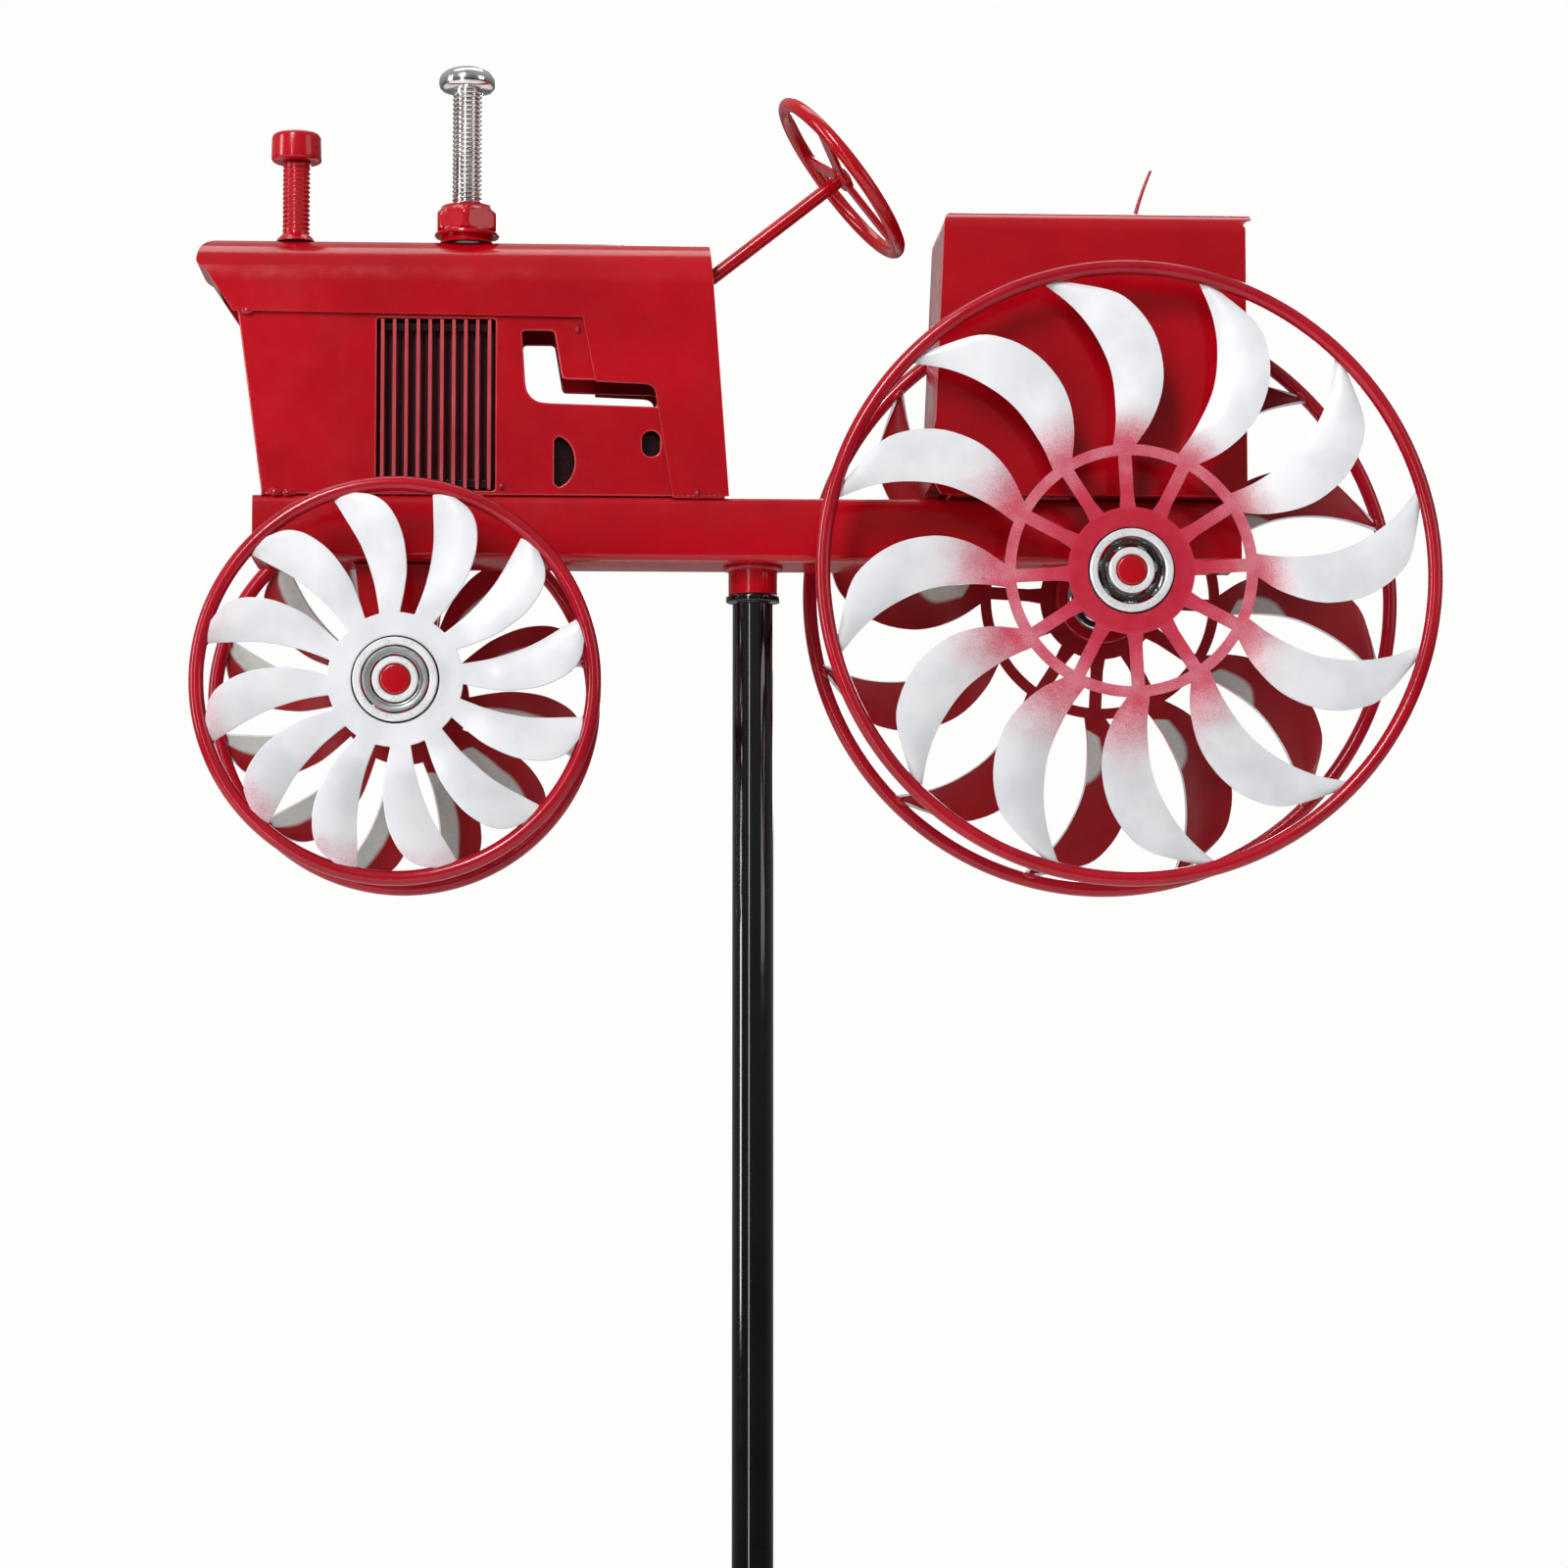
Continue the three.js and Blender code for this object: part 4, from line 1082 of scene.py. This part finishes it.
def make_air_cleaner():
    """A socket-head screw under paint, which leaves its thread shallow."""
    top = corners("air_cleaner_screw")[1].z
    head, shank, socket = 6.9, 3.75, 3.0
    head_low = top - 7.9
    profile = [(0, CROWN), (shank + 1.9, CROWN - 0.2), (shank + 1.3, CROWN + 0.7)]
    profile.append((shank + 0.3, CROWN + 1.7))
    profile += thread_rows(shank, CROWN + 1.9, head_low - 0.4, 0.3)
    cap = [(shank, head_low), (head, head_low), (head - 0.15, top - 0.25), (socket + 0.5, top)]
    profile += filleted([(0, head_low), *cap, (0, top)], 1.9, 8)[1:-1]
    profile += [(hexagon(socket), top - 0.5), (hexagon(socket), top - 4.6), (0, top - 5.4)]
    place = at(middle("air_cleaner_screw").x * MM, 0, 0)
    screw = new_object("air_cleaner_bolt", *turned(profile, 72), place)
    piece(screw, *TRACTOR_RED, ["air_cleaner_screw"], sharp=50)


def make_exhaust_nut():
    """A flanged nut in a weld bead, thick with paint."""
    foot, top = DECK + 71.7, DECK + 79.9
    across, corner, flange = 7.9, 8.7, 8.75
    profile = [(4.3, CROWN), (7.6, CROWN - 0.3), (7.1, CROWN + 0.6), (7.0, foot - 0.2)]
    profile += [(flange - 0.3, foot), (flange, foot + 0.35), (flange - 0.1, foot + 0.8), (8.1, foot + 1.3)]
    profile += [(chamfered_hexagon(across, corner - 0.15), foot + 1.6)]
    for k in range(13):
        height = foot + 1.9 + (top - foot - 1.9) * k / 12
        limit = corner - 1.8 * smoothstep(height, top - 2.6, top)
        profile.append((chamfered_hexagon(across, limit), height))
    profile += [(5.6, top), (4.6, top - 0.1), (4.15, top - 0.8)]
    place = at(middle("exhaust_nut").x * MM, 0, 0)
    nut = new_object("exhaust_flange_nut", *turned(profile, 144), place)
    piece(nut, *TRACTOR_RED, ["exhaust_nut"], sharp=24)


def make_exhaust_screw():
    """A bare pan-head screw with a cross recess cut into its dome."""
    x = middle("exhaust_nut").x
    top = corners("exhaust_screw")[1].z
    foot, head_low, head, shank = CROWN + 0.6, top - 6.4, 7.8, 4.05
    waist = head_low + 2.3
    profile = [(0, foot)] + thread_rows(shank, foot, head_low - 0.3, M8_THREAD_DEPTH)
    profile += [(shank, head_low + 0.1), (head - 2.0, head_low), (head - 1.0, head_low + 0.25)]
    profile += [(head - 0.3, head_low + 0.9), (head - 0.05, head_low + 1.7)]
    for k in range(15):
        a = math.pi / 2 * k / 14
        dome = head * math.cos(a) ** 0.75 if k < 14 else 0
        profile.append((dome, waist + (top - waist) * math.sin(a) ** 0.9))
    screw = new_object("exhaust_pan_screw", *turned(profile, 72), at(x * MM, 0, 0))
    slots = []
    for name, half_x, half_y in (("slot_along", 0.75, 2.9), ("slot_across", 2.9, 0.75)):
        box = box_mesh((-half_x, -half_y, -1), (half_x, half_y, 5))
        slot = new_object(name, *box, at(x * MM, 0, (top - 2.2) * MM))
        cut = screw.modifiers.new("cross", "BOOLEAN")
        cut.operation = "DIFFERENCE"
        cut.solver = "EXACT"
        cut.object = slot
        slots.append(slot)
    bpy.context.view_layer.update()
    settle(screw)
    for slot in slots:
        bpy.data.objects.remove(slot)
    piece(screw, "tractor", "chrome", [CHROME], ["exhaust_screw"], sharp=38)


def make_lever():
    """A thin, slightly bowed wire that tapers upwards."""
    low, high = corners("lever_wire")
    foot = Vector((low.x + 0.6, 0, low.z))
    tip = Vector((high.x - 0.55, 0, high.z - 0.1))
    path = []
    for k in range(25):
        t = k / 24
        bend = 0.35 * math.sin(math.pi * t)
        path.append(foot.lerp(tip, t) + Vector((-bend, 0, 0)))
    wire = new_object("lever_wire_bar", *swept(path, lambda t: 0.6 - 0.22 * t, 16))
    piece(wire, *TRACTOR_RED, ["lever_wire"])


make_air_cleaner()
make_exhaust_nut()
make_exhaust_screw()
make_lever()

# ---------------------------------------------------------------- pole and ground fork


def make_pole():
    """Two tubes, the lower one with a swaged neck inside the upper one, and the washer on top."""
    radius, bore, joint = POLE["radius"], POLE["bore"], POLE["joint"]
    shoulder, neck, neck_bore = joint - POLE["swage"], 4.4, 3.6
    low, high = corners("pole_lower")
    lower = [(bore, low.z), (radius, low.z), (radius, shoulder), (neck, joint)]
    lower += [(neck, high.z), (neck_bore, high.z), (neck_bore, joint), (bore, shoulder)]
    turned_piece("pole_lower_tube", "pole_lower", lower, 0.35)
    low, high = corners("pole_upper")
    turned_piece("pole_upper_tube", "pole_upper", tube_profile(bore, radius, low.z, high.z), 0.35)
    low, high = corners("swivel_washer")
    lip = tube_profile(4.35, COLLAR["lip_radius"], low.z, high.z)
    turned_piece("pivot_washer", "swivel_washer", lip, 0.45)


def make_fork():
    """The step bar, the socket on it and two pointed prongs, all welded together."""
    step_low, step_high = corners("fork_step_bar")
    piece(refined("fork_step_bar"), *POLE_BLACK, ["fork_step_bar"], 0.7)
    low, high = corners("fork_socket")
    sleeve = tube_profile(5.9, (high.x - low.x) / 2, low.z - 0.3, high.z)
    turned_piece("fork_socket_tube", "fork_socket", sleeve, 0.4)
    weld("fork_socket_weld", ring_path(low.z, 7.9), 0.9, POLE_BLACK, True)
    for side, inward in (("front", 1), ("rear", -1)):
        node = f"fork_prong_{side}"
        low, high = corners(node)
        centre = middle(node)
        r = (high.x - low.x) / 2
        prong = [(0, low.z), (0.5, low.z + 0.6), (r, low.z + 4 * r)]
        prong += [(r, high.z - 1), (r - 1, high.z), (0, high.z)]
        turned_piece(f"{node}_bar", node, prong, 0.6, spot=(centre.x, centre.y, 0), segments=48)
        x = centre.x + inward * (r + 0.1)
        for place, z, radius in (("top", step_high.z, 0.8), ("foot", step_low.z + 0.6, 0.5)):
            weld(f"prong_weld_{side}_{place}", line((x, -4, z), (x, 4, z), 28), radius, POLE_BLACK)


make_pole()
make_fork()

# ---------------------------------------------------------------- floor, light and camera


def make_floor():
    """A pale disc under the prongs' points."""
    profile = [(0, -4), (2200, -4), (2200, 0), (0, 0)]
    disc = new_object("floor", *turned(profile, 128), at(0, 0, GROUND * MM))
    shader = Shader("floor_pale", Roughness=0.9)
    shader.colour(shader.blend(shader.noise(6, 5), (0.80, 0.80, 0.79), (0.84, 0.84, 0.83)))
    disc.data.materials.append(shader.material)


def make_world():
    """White to the eye, and a softer grey as a source of light, brighter from above and behind."""
    world = bpy.data.worlds.new("studio")
    bpy.context.scene.world = world
    world.use_nodes = True
    tree = world.node_tree
    tree.nodes.clear()

    def add(kind):
        return tree.nodes.new("ShaderNode" + kind)

    seen, light, total, mix = add("Background"), add("Background"), add("Math"), add("MixShader")
    seen.inputs["Color"].default_value = (0.985, 0.985, 0.975, 1)
    direction = add("SeparateXYZ")
    tree.links.new(add("TexCoord").outputs["Generated"], direction.inputs[0])
    for axis, dark, bright, term in (("Y", 0.02, 0.12, 0), ("Z", 0.0, 0.40, 1)):
        ramp = add("MapRange")
        ramp.interpolation_type = "SMOOTHSTEP"
        limits = {"From Min": -0.5, "From Max": 0.9, "To Min": dark, "To Max": bright}
        for key, value in limits.items():
            ramp.inputs[key].default_value = value
        tree.links.new(direction.outputs[axis], ramp.inputs["Value"])
        tree.links.new(ramp.outputs["Result"], total.inputs[term])
    tree.links.new(total.outputs[0], light.inputs["Color"])
    tree.links.new(add("LightPath").outputs["Is Camera Ray"], mix.inputs[0])
    tree.links.new(light.outputs[0], mix.inputs[1])
    tree.links.new(seen.outputs[0], mix.inputs[2])
    tree.links.new(mix.outputs[0], add("OutputWorld").inputs["Surface"])


def make_lights():
    """Soft boxes aimed at the tractor: name, place and size in metres, power in watts."""
    target = Vector((0, 0, 0.62))
    for name, place, width, length, power in (
        ("key", (-0.9, -2.1, 2.1), 0.55, 1.1, 54),
        ("front_strip", (-0.95, -2.2, 0.5), 0.2, 1.8, 9),
        ("left_strip", (-2.3, -0.7, 0.95), 0.4, 1.5, 26),
        ("fill_right", (2.0, -1.4, 1.2), 1.0, 1.0, 7),
        ("top_strip", (-0.1, 0.3, 2.3), 1.6, 0.6, 10),
        ("back_rim", (0.6, 1.9, 1.3), 1.2, 1.2, 20),
    ):
        light = bpy.data.lights.new(name, "AREA")
        light.energy = power
        light.shape = "RECTANGLE"
        light.size = width
        light.size_y = length
        obj = linked(name, light)
        obj.location = place
        obj.rotation_euler = (target - Vector(place)).to_track_quat("-Z", "Y").to_euler()


def make_camera():
    """The camera stands in front and a little below, and looks slightly up."""
    yaw, pitch = math.radians(2.895), math.radians(4.21)
    camera = bpy.data.cameras.new("camera")
    camera.sensor_width = 36
    camera.lens = 18 / math.tan(math.radians(21.96 / 2))
    camera.clip_start = 0.01
    obj = linked("camera", camera)
    obj.location = (-0.0461, -1.0761, 0.4824)
    ahead = Vector((math.sin(yaw) * math.cos(pitch), math.cos(yaw) * math.cos(pitch), math.sin(pitch)))
    obj.rotation_euler = ahead.to_track_quat("-Z", "Y").to_euler()
    bpy.context.scene.camera = obj


make_floor()
make_world()
make_lights()
make_camera()
bpy.context.scene.view_settings.view_transform = "Standard"
